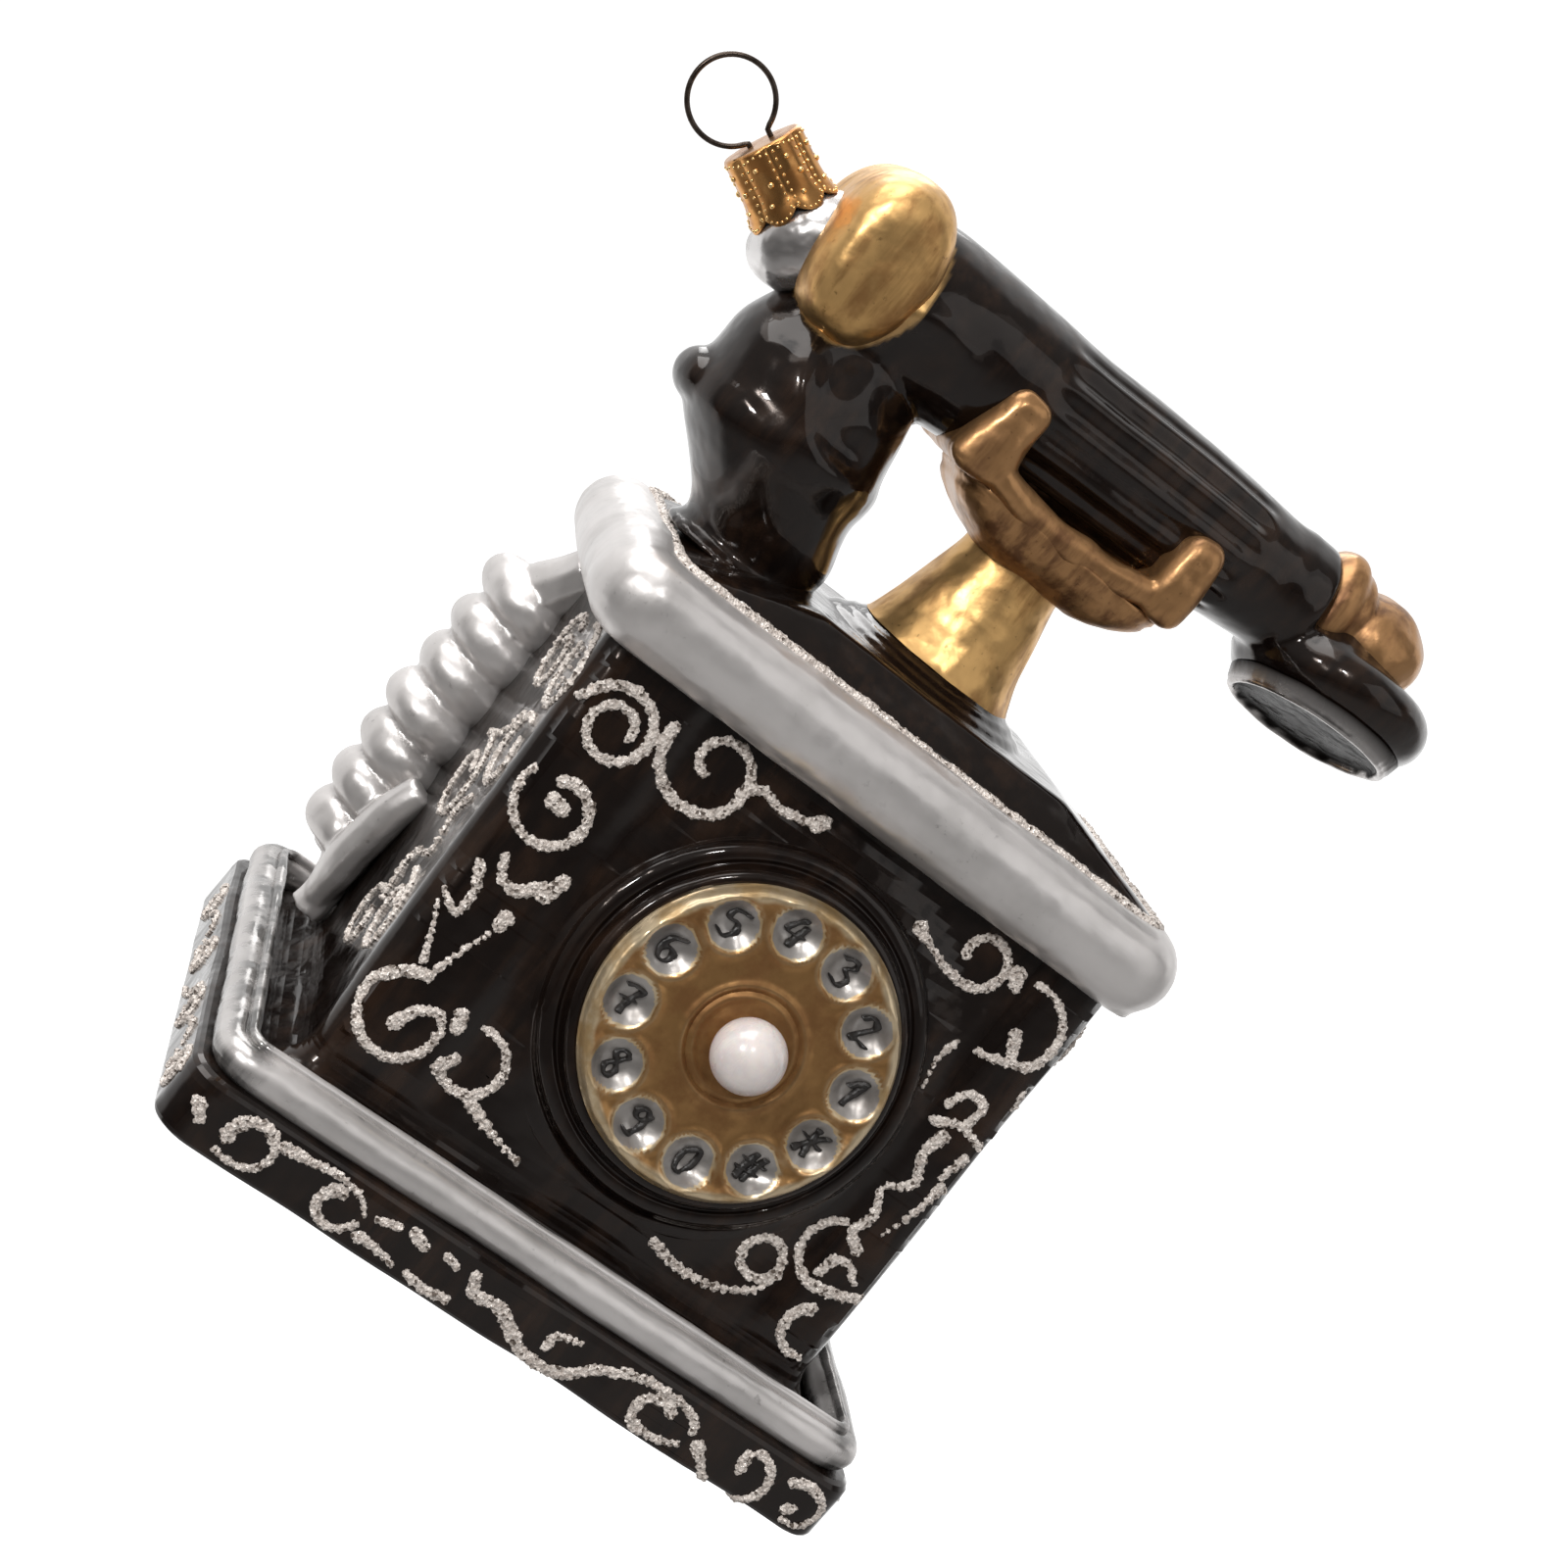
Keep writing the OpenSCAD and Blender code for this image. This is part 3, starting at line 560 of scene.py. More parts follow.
def gold(name, light, dark, rough_low, rough_high, patch, metallic):
    """Gold lacquer or leaf: a light and a dark tone in patches, worn streaks and specks."""
    material, tree, shader, at = new_finish(name, Metallic=metallic, IOR=1.5)
    brush = place_group(tree, BRUSHWORK, at, Patch_Size=patch, Streak_Size=520.0, Speck_Size=1300.0)
    glass = place_group(tree, BLOWN_SURFACE, at, Wave_Size=170.0, Wave_Height=0.0008,
                        Ripple_Size=1100.0, Ripple_Height=0.00003)
    worn = math_node(tree, "MULTIPLY", brush.outputs["Patches"], brush.outputs["Streaks"])
    colour = mix_node(tree, worn, light, dark)
    speckled = tuple(0.55 * c for c in dark)
    colour = mix_node(tree, math_node(tree, "MULTIPLY", brush.outputs["Specks"], 0.6), colour, speckled)
    dress(tree, shader, Base_Color=colour, Normal=glass.outputs["Normal"],
          Roughness=ramp_node(tree, brush.outputs["Patches"], 0, 1, rough_low, rough_high))
    return material


def dial_finish():
    """Brown-gold dial, pale rim and silver dimples, where the attribute paint is 0, 1 and 2; the pale tone is
    also a painted highlight on the ring crests and dimple lips.
    """
    material, tree, shader, at = new_finish("dial_gold", Metallic=0.75, IOR=1.5)
    brush = place_group(tree, BRUSHWORK, at, Patch_Size=230.0, Streak_Size=700.0, Speck_Size=1600.0)
    glass = place_group(tree, BLOWN_SURFACE, at, Wave_Size=260.0, Wave_Height=0.0003)
    paint = attribute_node(tree, "paint")
    patches = brush.outputs["Patches"]
    gold_tone = mix_node(tree, patches, (0.36, 0.195, 0.072), (0.24, 0.118, 0.042))
    # Pale gold: paint on the rim, and a painted highlight on the raised rings and dimple lips
    pale_rim_and_highlight_tone = mix_node(tree, patches, (0.66, 0.53, 0.35), (0.46, 0.31, 0.15))
    silver_tone = mix_node(tree, patches, (0.42, 0.395, 0.375), (0.30, 0.275, 0.255))
    colour = mix_node(tree, ramp_node(tree, paint, 0.2, 0.8), gold_tone, pale_rim_and_highlight_tone)
    colour = mix_node(tree, ramp_node(tree, paint, 1.35, 1.65), colour, silver_tone)
    dress(tree, shader, Base_Color=colour, Roughness=ramp_node(tree, patches, 0, 1, 0.30, 0.42),
          Normal=glass.outputs["Normal"])
    return material


def bare_mirror():
    """Bare silvered glass, wavy and bright."""
    material, tree, shader, at = new_finish("bare_mirror", Metallic=0.85, IOR=1.5)
    glass = place_group(tree, BLOWN_SURFACE, at, Wave_Size=240.0, Wave_Height=0.0006,
                        Ripple_Size=900.0, Ripple_Height=0.00002)
    thick = ramp_node(tree, glass.outputs["Mask"], 0.38, 0.62)
    dress(tree, shader, Base_Color=mix_node(tree, thick, (0.44, 0.42, 0.41), (0.74, 0.72, 0.71)),
          Roughness=ramp_node(tree, glass.outputs["Mask"], 0, 1, 0.20, 0.32), Normal=glass.outputs["Normal"])
    return material


def pearl_lustre():
    """White pearl with a pink sheen under a glossy coat."""
    material, tree, shader, at = new_finish("pearl_lustre", IOR=1.55, Coat_Weight=0.6, Coat_Roughness=0.08,
                                            Subsurface_Weight=0.15, Subsurface_Scale=MM, Sheen_Weight=0.25,
                                            Sheen_Tint=(1.0, 0.8, 0.86, 1.0))
    brush = place_group(tree, BRUSHWORK, at, Patch_Size=420.0, Streak_Size=900.0, Speck_Size=2000.0)
    colour = mix_node(tree, brush.outputs["Patches"], (0.80, 0.735, 0.695), (0.72, 0.655, 0.635))
    dress(tree, shader, Base_Color=colour,
          Roughness=ramp_node(tree, brush.outputs["Streaks"], 0, 1, 0.22, 0.32))
    return material


def glitter_finish():
    """Crushed white glass on glue: each grain has its own shade and facet."""
    material, tree, shader, at = new_finish("glitter", IOR=1.5, Metallic=0.1)
    grit = place_group(tree, GRIT, at, Grain_Size=3100.0)
    shade = grit.outputs["Shade"]
    colour = mix_node(tree, ramp_node(tree, shade, 0.0, 0.85), (0.46, 0.395, 0.35), (0.88, 0.80, 0.735))
    colour = mix_node(tree, math_node(tree, "LESS_THAN", shade, 0.08), colour, (0.13, 0.10, 0.08))
    bump = add(tree, "ShaderNodeBump")
    bump.inputs["Distance"].default_value = 0.22 * MM
    tree.links.new(grit.outputs["Height"], bump.inputs["Height"])
    dress(tree, shader, Base_Color=colour, Roughness=ramp_node(tree, shade, 0, 1, 0.55, 0.22),
          Normal=bump.outputs["Normal"])
    return material


def cap_metal():
    """Copper-gold foil of the cap, with painted shade on the foil between its beads and a painted highlight
    on the beads.
    """
    material, tree, shader, at = new_finish("cap_metal", Metallic=1.0, IOR=1.5)
    brush = place_group(tree, BRUSHWORK, at, Patch_Size=520.0, Streak_Size=1200.0, Speck_Size=2600.0)
    colour = mix_node(tree, brush.outputs["Patches"], (0.60, 0.305, 0.105), (0.42, 0.19, 0.06))
    # Painted highlight: the raised beads get a lighter gold than the foil, though both are the same metal
    colour = mix_node(tree, attribute_node(tree, "raised"), colour, (0.88, 0.58, 0.25))
    dress(tree, shader, Base_Color=colour,
          Roughness=ramp_node(tree, brush.outputs["Patches"], 0, 1, 0.22, 0.34))
    return material


def plain_paint(name, colour, roughness, metallic):
    """Thin hand paint or drawn wire, with a slight unevenness."""
    material, tree, shader, at = new_finish(name, Metallic=metallic, IOR=1.5)
    brush = place_group(tree, BRUSHWORK, at, Patch_Size=600.0, Streak_Size=1500.0, Speck_Size=2600.0)
    lighter = tuple(1.8 * c + 0.004 for c in colour)
    dress(tree, shader, Base_Color=mix_node(tree, brush.outputs["Patches"], colour, lighter),
          Roughness=ramp_node(tree, brush.outputs["Patches"], 0, 1, roughness, 1.3 * roughness))
    return material


GILDING = (0.62, 0.38, 0.15)
BLACK = black_lacquer()
LIP = lip_finish()
SILVER = satin_silver()
LEAF_GOLD = gold("leaf_gold", (0.66, 0.40, 0.155), (0.36, 0.19, 0.07), 0.34, 0.46, patch=160.0, metallic=0.9)
BRONZE = gold("bronze_gold", (0.42, 0.225, 0.095), (0.16, 0.074, 0.032), 0.28, 0.42, patch=120.0,
              metallic=0.72)
DIAL_GOLD = dial_finish()
MIRROR = bare_mirror()
PEARL = pearl_lustre()
GLITTER = glitter_finish()
CAP_METAL = cap_metal()
FIGURE_PAINT = plain_paint("figure_paint", (0.012, 0.010, 0.009), 0.35, metallic=0.0)
WIRE = plain_paint("wire", (0.045, 0.034, 0.027), 0.28, metallic=0.9)


# ---------------------------------------------------------------- plinth and housing

def plinth():
    """The black base slab, round-edged and never past its CAD box."""
    low, high = PLINTH
    width, depth = high.x - low.x, high.y - low.y
    outline = rounded_outline(width, depth, 4.0)
    foot_edge, top_edge = 0.9, 1.2

    def level(z, inset):
        return z, 1 - 2 * inset / width, 1 - 2 * inset / depth

    turns = (0.4, 0.8, 1.2, math.pi / 2)
    levels = [level(low.z, foot_edge)]
    levels += [level(low.z + foot_edge * (1 - math.cos(a)), foot_edge * (1 - math.sin(a))) for a in turns]
    levels += [level(z, 0) for z in (2.6, 3.8, 5.0, 6.0)]
    levels += [level(high.z - top_edge * (1 - math.sin(a)), top_edge * (1 - math.cos(a))) for a in turns]
    bm = uneven(tower(outline, levels), 0.35, 14.0, seed=1.0)
    for v in bm.verts:
        v.co = Vector(min(max(c, a), b) for c, a, b in zip(v.co, low, high))
    return bm


def housing():
    """Cove and housing in one flowing wall, with corner posts that stand a little proud at the front."""
    outline = rounded_outline(FOOT_W, FOOT_D, 3.0, step=0.9)
    cove_w, cove_d, cove_steps, wall_steps = 75.7, 57.1, 12, 61
    levels = []
    cove_low = PLINTH_TOP - 0.4
    for i in range(cove_steps + 1):
        t = i / cove_steps
        out = (1 - t) ** 2.3
        levels.append((cove_low + (FOOT_Z - cove_low) * t, 1 + out * (cove_w / FOOT_W - 1),
                       1 + out * (cove_d / FOOT_D - 1)))
    height = TOP_BEAD_Z - FOOT_Z
    for i in range(1, wall_steps + 1):
        t = i / wall_steps
        levels.append((FOOT_Z + height * t, 1 + t * (TOP_W / FOOT_W - 1), 1 + t * (TOP_D / FOOT_D - 1)))
    bm = tower(outline, levels)
    centre_z = (FOOT_Z + TOP_BEAD_Z) / 2

    def push(co, normal):
        if abs(normal.z) > 0.9 or co.z < FOOT_Z - 3:
            return 0.0
        if normal.y > -0.8:
            # Side and back walls are plain
            return 0.35 * noise.noise(co / 16.0)
        above = co.z - centre_z
        left = 1 - smooth_step(-22.0, -19.6, co.x + 0.018 * above)
        right = smooth_step(23.4, 25.8, co.x - 0.045 * above)
        post = 0.75 * max(left, right) * smooth_step(FOOT_Z - 1, FOOT_Z + 3, co.z)
        reach = math.hypot(co.x - DIAL_X, co.z - DIAL_Z)
        mound = 0.9 * (1 - smooth_step(20.0, 25.5, reach)) * (1 - max(left, right))
        return post + mound + 0.22 * noise.noise(co / 11.0)

    return shaped(bm, push)


def dial_mount():
    """Round steps under the dial, each with a soft edge."""
    steps = [(22.4, 0.55), (21.2, 1.0), (20.6, 1.55), (20.3, 2.2), (19.7, 2.65), (18.9, 2.7), (18.45, 2.45),
             (18.1, 2.9), (17.9, 3.6), (17.5, 4.1), (16.9, 4.25), (16.0, 4.1)]
    under, over = [(0, 0.5), (10, 0.5), (24.0, -1.6), (23.2, 0.1)], [(14.0, 3.4), (0, 3.4)]
    bm = spun(under + smooth_profile(steps, 4) + over, 128)
    return uneven(placed(bm, DIAL_PLACE), 0.12, 6.0, seed=3.0)


def dimple_at(x, y):
    """Distance to the nearest dimple's centre on the dial."""
    a = math.atan2(y, x) - FIRST_DIMPLE
    step = 2 * math.pi / DIMPLES
    a = round(a / step) * step + FIRST_DIMPLE
    return math.hypot(x - DIMPLE_RING * math.cos(a), y - DIMPLE_RING * math.sin(a))


def dial_plate():
    """Dial with finger dimples pressed in, a rolled rim and rings round the pearl."""
    spacing = 0.28
    rings = [i * spacing for i in range(1, int(DIAL_R / spacing))] + [DIAL_R - 0.12, DIAL_R]
    bm = spun([(r, 0.0) for r in rings], 224)

    def height(x, y):
        r = math.hypot(x, y)
        z = DIAL_TOP - 0.55
        z += 0.55 * bell(r - 15.7, 0.9) - 1.1 * smooth_step(16.1, 16.8, r)
        z += 0.30 * bell(r - 6.5, 0.45) + 0.22 * bell(r - 5.3, 0.4) - 0.15 * bell(r - 5.9, 0.3)
        d = dimple_at(x, y)
        z -= DIMPLE_DEPTH * (1 - smooth_step(0.30, 1.10, d / DIMPLE_R))
        z += 0.22 * bell(d - 1.15 * DIMPLE_R, 0.45)
        return z + 0.10 * noise.noise(Vector((x, y, 0)) / 3.0)

    for v in bm.verts:
        v.co.z = height(v.co.x, v.co.y)
    rim = [e for e in bm.edges if e.is_boundary and e.verts[0].co.xy.length > DIAL_R - 0.1]
    grown = bmesh.ops.extrude_edge_only(bm, edges=rim)
    for v in (g for g in grown["geom"] if isinstance(g, bmesh.types.BMVert)):
        v.co = (0.985 * v.co.x, 0.985 * v.co.y, v.co.z - 1.9)
    bmesh.ops.holes_fill(bm, edges=[e for e in bm.edges if e.is_boundary], sides=0)
    bmesh.ops.recalc_face_normals(bm, faces=bm.faces)
    paint = bm.verts.layers.float.new("paint")
    for v in bm.verts:
        r, d = v.co.xy.length, dimple_at(v.co.x, v.co.y)
        streak = 0.35 * noise.noise(Vector((v.co.x, v.co.y, 4.0)) / 2.2)
        # The pale rim is paint; the pale on the crests of the rings round the pearl and of each dimple's lip
        # is a painted highlight
        pale = max(smooth_step(14.6, 16.2, r + 1.4 * streak), 0.35 * bell(r - 6.5, 0.4),
                   0.3 * bell(r - 5.3, 0.4), 0.4 * bell(d - 1.15 * DIMPLE_R, 0.4))
        silver = 1 - smooth_step(0.92, 1.06, d / DIMPLE_R + 0.12 * streak)
        v[paint] = max(pale, 2.0 * silver)
    return placed(bm, DIAL_PLACE)


def pearl():
    """A full pearl, sunk a little into the dial."""
    bm = spun(arc(0, 0, PEARL_R, -90, 90, 40), 96)
    return placed(bm, DIAL_PLACE @ shift(0, 0, DIAL_TOP + 0.62 * PEARL_R))


def band(width, depth, corner, z, radius):
    """A round moulding along a rectangle."""
    path = [p + Vector((0, 0, z)) for p in rounded_outline(width, depth, corner, step=1.4, arc_steps=6)]
    return tube(path, radius, closed=True, sides=28)


def plinth_bead():
    """The silver moulding on the plinth: a fat band with a thin lip above it."""
    fat = uneven(band(78.2, 59.6, 2.6, PLINTH_TOP + 1.75, 2.15), 0.28, 9.0, seed=5.0)
    lip = uneven(band(76.4, 57.8, 2.2, PLINTH_TOP + 4.0, 0.62), 0.22, 6.0, seed=7.0)
    return joined([fat, lip])


def bare_ends_with_highlight_strip(co):
    """How bare the silver is: the ends of the plinth's moulding are dark bare glass, except for a strip of
    silver along the band that is a painted highlight.
    """
    # Painted highlight: a strip of silver kept along the upper part of the band
    painted_highlight_strip = bell(co.z - PLINTH_TOP - 2.7, 0.65)
    return smooth_step(35.4, 37.2, abs(co.x)) * (1 - painted_highlight_strip)


def top_bead():
    """The fat silver moulding round the top, with a thin lip under it."""
    low, high = TOP_BEAD
    width, depth = high.x - low.x - 2 * TOP_BEAD_R, high.y - low.y - 2 * TOP_BEAD_R
    fat = band(width, depth, 2.2, TOP_BEAD_Z, TOP_BEAD_R)
    fat = uneven(fat, 0.55, 15.0, seed=9.0)
    for v in fat.verts:
        v.co.x -= 1.4 * smooth_step(18.0, 38.0, v.co.x)
    lip = uneven(band(width + 2.2, depth + 2.2, 2.2, TOP_BEAD_Z - 4.35, 0.75), 0.25, 8.0, seed=11.0)
    return melted([fat, lip], 0.55, 4)


def lid():
    """Hipped lid, then the rounded rings under the stem."""
    low, high = LID
    width, depth = high.x - low.x, high.y - low.y
    outline = rounded_outline(width, depth, 2.4, step=1.2)
    roof = [(low.z - 1.0, 1.0, 1.0), (low.z + 0.9, 1.0, 1.0)]
    for t in (0.06, 0.16, 0.3, 0.5, 0.7, 0.86, 1.0):
        rise = 4.1 * (t ** 0.9)
        roof.append((low.z + 0.9 + rise, 1 - 0.47 * t, 1 - 0.22 * t))
    body = tower(outline, roof)
    rings = [(14.6, 3.2), (13.6, 4.7), (12.8, 5.3), (12.3, 5.8), (11.7, 5.7), (11.3, 6.15), (10.8, 6.5),
             (10.2, 6.45)]
    seat_z = STEM_FOOT_Z + 0.1
    steps = smooth_profile([(r, low.z + z) for r, z in rings] + [(9.7, seat_z)], 4)
    seat = spun([(0, low.z)] + steps + [(0, seat_z)])
    return uneven(melted([body, seat], 0.45, 3), 0.25, 10.0, seed=13.0)


def cradle_stem():
    """The flared stem, with its top sunk in the saddle."""
    foot, top = STEM_FOOT_Z, STEM_TOP_Z + 0.6
    flare = smooth_profile([(9.7, foot), (9.3, foot + 0.9), (8.2, foot + 4.2), (7.1, foot + 8.6),
                            (6.3, STEM_TOP_Z - 1.0), (6.2, top)], 8)
    return uneven(spun([(0, foot)] + flare + [(0, top)]), 0.22, 5.0, seed=15.0)


# ---------------------------------------------------------------- handset, fork and cord

def handset():
    """Grip, receiver and mouthpiece as one black glass skin."""
    grip_profile = [(0, -31.5), (8.2, -31.0), (9.3, -28), (9.2, -20), (8.7, -13), (8.35, -6), (8.15, 4),
                    (7.9, 12), (7.45, 18), (6.9, 24), (6.6, 28.2), (0, 28.3)]
    grip = placed(spun(smooth_profile(grip_profile, 5)), GRIP_PLACE @ ALONG_X)
    horn_profile = [(0, -3), (7.8, -4), (9.6, -8), (10.9, -12), (11.3, -15.4), (11.6, -17.2), (12.1, -18.6),
                    (12.2, -19.8), (12.0, -21.2), (11.3, -22.8), (10.4, -25.2), (9.5, -27.8), (8.5, -30.0),
                    (8.0, -31.8), (8.8, -33.6), (0, -33.8)]
    horn = spun(smooth_profile(horn_profile, 5))
    # The receiver's foot stands a little nearer the stem than its top, which is flatter
    for v in horn.verts:
        v.co.x += 4.9 * smooth_step(-20.5, -31.0, v.co.z) - 0.5 * bell(v.co.z + 12, 4)
        v.co.y *= 1 - 0.22 * smooth_step(-15.0, -7.0, v.co.z)
    placed(horn, shift(-28.9, 0, GRIP_Z))
    crook = ball((-26.0, 0, GRIP_Z - 3.4), (9.4, 7.4, 9.2), 4)
    knob = ball((-39.2, 0, GRIP_Z - 19.9), (3.3, 5.2, 3.1), 3)
    neck = placed(spun([(0, -1), (10.6, -1), (10.8, 0.8), (9.9, 2.8), (8.4, 4.2), (6.6, 6.0), (5.2, 8.0),
                        (0, 8.2)]), MOUTH_PLACE @ shift(-1.8, 0, 0))
    cup = placed(spun([(0, -3.5), (9.4, -3.5)] + arc(8.6, 0, 3.45, -75, 75, 10) + [(8.2, 3.5), (0, 3.5)]),
                 MOUTH_PLACE)
    c_x, c_z, flutes_per_turn = -24.2, GRIP_Z - 9.8, 15.0
    skin = melted([grip, horn, crook, knob, neck, cup], 0.4, 5)

    def push(co, normal):
        along = GRIP_PLACE.inverted() @ co
        amount = 0.12 * noise.noise(co / 7.0)
        # Flutes along the grip
        inside = smooth_step(-12.0, -8.0, along.x) * (1 - smooth_step(15.5, 19.0, along.x))
        if inside > 0 and co.z > FORK_Z + 3:
            turn = math.atan2(along.z, abs(along.y))
            reach = 1 - smooth_step(0.95, 1.25, abs(turn))
            amount += 0.34 * inside * reach * math.cos(turn * flutes_per_turn)
        # A soft C pressed into the front and back of the receiver, open towards the grip
        if co.x < -13:
            ring = math.hypot(co.x - c_x, co.z - c_z)
            facing = smooth_step(0.2, 0.5, abs(normal.y))
            closed = smooth_step(0.7, -0.1, (co.x - c_x) / max(ring, 0.1))
            amount += facing * closed * (0.6 * bell(ring - 9.2, 1.5) - 0.5 * bell(ring - 5.6, 2.4))
        # The shoulder between the grip and the mouthpiece
        amount += 0.35 * bell(along.x - 24.5, 1.6) * smooth_step(-6.0, 2.0, along.z)
        return amount

    return shaped(skin, push)


def mouth_lip():
    """The mouthpiece's dark face inside a thin bare rim."""
    profile = [(0, -0.75), (4.0, -0.8), (7.6, -0.7), (8.9, -0.85), (9.15, -1.15)]
    profile += arc(9.6, -1.2, 0.42, 190, 370, 8) + [(10.3, -0.7), (10.7, 0.5), (0, 0.7)]
    return uneven(placed(spun(profile, 128), LIP_PLACE), 0.14, 4.0, seed=17.0)


def lip_paint(co):
    """1 on the rim, with a worn edge."""
    local = LIP_PLACE.inverted() @ co
    worn = 0.3 * noise.noise(co / 1.5)
    return smooth_step(9.05, 9.35, local.xy.length + worn) * smooth_step(-0.55, -0.85, local.z)


def outline_reach(x, z):
    return (abs(x) ** EGG_FULLNESS + abs(z) ** EGG_FULLNESS) ** (1 / EGG_FULLNESS)


def egg_reach(co):
    """1 on the gold egg's outline as seen from the front, less inside it."""
    return outline_reach((co.x - EGG.x) / EGG_SIZE.x, (co.z - EGG.z) / EGG_SIZE.z)


def gilt(co):
    """Where the receiver's skin carries the egg's gold."""
    return smooth_step(1.01, 0.95, egg_reach(co) + 0.02 * noise.noise(co / 1.2))


def receiver_cap():
    """A fat gold egg with full ends and a full face."""
    bm = ball((0, 0, 0), (1, 1, 1), 5)
    for v in bm.verts:
        v.co /= (outline_reach(v.co.x, v.co.z) ** EGG_FACE + abs(v.co.y) ** EGG_FACE) ** (1 / EGG_FACE)
        v.co = Vector(c * size for c, size in zip(v.co, EGG_SIZE))
    return uneven(placed(bm, shift(*EGG)), 0.3, 7.0, seed=19.0)


def mouth_cap():
    """Collar and dome, with soft facets."""
    seat = GRIP_PLACE @ shift(28.0, 0, 0)
    collar = placed(spun([(0, 0)] + arc(4.0, 2.4, 2.35, -75, 75, 10) + [(0, 4.8)], 64),
                    seat @ shift(-0.4, 0, 1.9) @ ALONG_X)
    ridge = placed(spun([(0, 3.4)] + arc(4.4, 4.2, 1.3, -80, 80, 8) + [(0, 5.2)], 64),
                   seat @ shift(0.2, 0, 1.7) @ ALONG_X)
    dome = placed(ball((9.0, 0, 0.9), (6.3, 7.6, 6.0), 4), seat)
    return uneven(melted([collar, ridge, dome], 0.3, 5), 0.5, 4.5, seed=21.0)


def fork():
    """Two rounded prongs, wide at the foot, and a bar that sags between them under the grip."""
    reach, prong_h = 10.8, 10.6
    bodies = []
    for y in (2.2 - reach, 0, reach - 2.2):
        sag = through([(-13.6, y, FORK_Z + 2.6), (-9.6, y, FORK_Z + 1.7), (-4.0, y, FORK_Z + 0.9),
                       (3.0, y, FORK_Z + 0.9), (8.8, y, FORK_Z + 1.7), (13.6, y, FORK_Z + 2.6)], 5)
        bodies.append(tube(sag, 1.75 if y else 2.6, sides=16))
    bodies.append(block((-13.2, 2.0 - reach, FORK_Z - 0.2), (13.4, reach - 2.0, FORK_Z + 2.2), 1.0, 4))
    # A prong is wider at its foot, and the left one leans out
    for x, foot, lean_out in ((-12.0, 1.5, -0.9), (12.4, 1.12, 0.1)):
        prong = block((-2.5, -reach, 0), (2.5, reach, prong_h), 1.8, 6)
        for v in prong.verts:
            share = v.co.z / prong_h
            v.co.x = v.co.x * (foot + (0.98 - foot) * share) + lean_out * (1 - share)
            v.co.y *= 1.0 - 0.05 * share
        bodies.append(placed(prong, shift(x, 0, FORK_Z)))
    return uneven(melted(bodies, 0.3, 6), 0.42, 4.0, seed=23.0)


def saddle():
    """The bowl between the stem and the fork, with a soft fold round it."""
    outline = rounded_outline(32.0, 20.0, 6.0, step=1.0)
    low, high = STEM_TOP_Z - 0.2, FORK_Z + 0.4
    swell = ((0.0, 0.42, 0.60), (0.12, 0.54, 0.72), (0.3, 0.66, 0.84), (0.5, 0.76, 0.92),
             (0.66, 0.82, 0.97), (0.76, 0.82, 0.97), (0.84, 0.86, 1.0), (1.0, 0.87, 1.0))
    bowl = tower(outline, [(low + (high - low) * t, wide, deep) for t, wide, deep in swell])
    return uneven(melted([placed(bowl, shift(0.8, 0, 0))], 0.34, 3), 0.3, 5.0, seed=25.0)


def glass_neck():
    """Bare glass: a crumpled bulb against the receiver, then the tube inside the cap."""
    profile = [(0, -7.6), (4.4, -7.4), (5.8, -6.2), (6.5, -4.4), (6.4, -2.8), (5.6, -1.3), (4.4, -0.4),
               (3.7, 0.2), (3.55, 1.0), (3.55, 6.0), (3.3, 6.25), (2.9, 6.25), (2.8, 5.8), (0, 5.6)]
    return uneven(placed(spun(smooth_profile(profile, 4), 72), NECK_PLACE), 0.26, 4.2, seed=27.0)


def curly_cord():
    """The moulded cord: slanting ribs, a link to the top moulding, a lobe and the tail."""
    bodies = []
    tilt = Matrix.Rotation(math.radians(13), 4, "Y")
    last_turn = len(RIB_SIZES) - 1
    for i, size in enumerate(RIB_SIZES):
        rib = spun([(0, -2.95)] + arc(3.8, 0, 2.9, -85, 85, 10) + [(0, 2.95)], 64)
        bmesh.ops.scale(rib, vec=(size, size, 1.0), verts=rib.verts)
        out = 0.9 * math.sin(math.pi * i / last_turn)
        bodies.append(placed(rib, shift(COIL.x - out, COIL.y, COIL.z - i * COIL_PITCH) @ tilt))
    last = COIL.z - last_turn * COIL_PITCH
    core = spun([(0, last - 3.5), (3.2, last - 3.2), (4.2, last), (4.2, COIL.z), (0, COIL.z + 1)], 40)
    bodies.append(placed(core, shift(COIL.x, COIL.y, 0)))
    link = through([(-32.8, 10.0, 63.0), (-34.0, 11.2, 60.5), (-35.2, 13.2, 57.8), (-35.8, 15.5, 55.0)], 5)
    bodies.append(tube(link, 3.5, radii=[1.0 + 0.12 * i / len(link) for i in range(len(link))]))
    tail = through([(-36.2, 14.5, 25.0), (-35.8, 13.0, 22.0), (-35.0, 12.0, 18.5), (-34.6, 11.6, 15.5),
                    (-35.0, 11.6, 12.4)], 5)
    bodies.append(tube(tail, 2.3))
    lobe = through([(-33.6, 6.8, 32.6), (-34.7, 7.2, 29.2), (-35.1, 8.0, 24.6), (-35.3, 9.4, 19.6),
                    (-35.0, 10.8, 14.8)], 5)
    bodies.append(tube(lobe, 2.4, radii=[0.78 + 0.25 * math.sin(math.pi * i / (len(lobe) - 1))
                                        for i in range(len(lobe))]))
    return uneven(melted(bodies, 0.36, 4), 0.35, 4.5, seed=29.0)


# ---------------------------------------------------------------- glitter, figures, cap and wire

# Glitter: how much of a stroke's width its drops take, their thickness, and the grains at their edges
DROP_WIDTH = 0.74
DROP_T = 0.38
GRAIN_OUT = 0.26
GRAIN_SIZE = 0.42


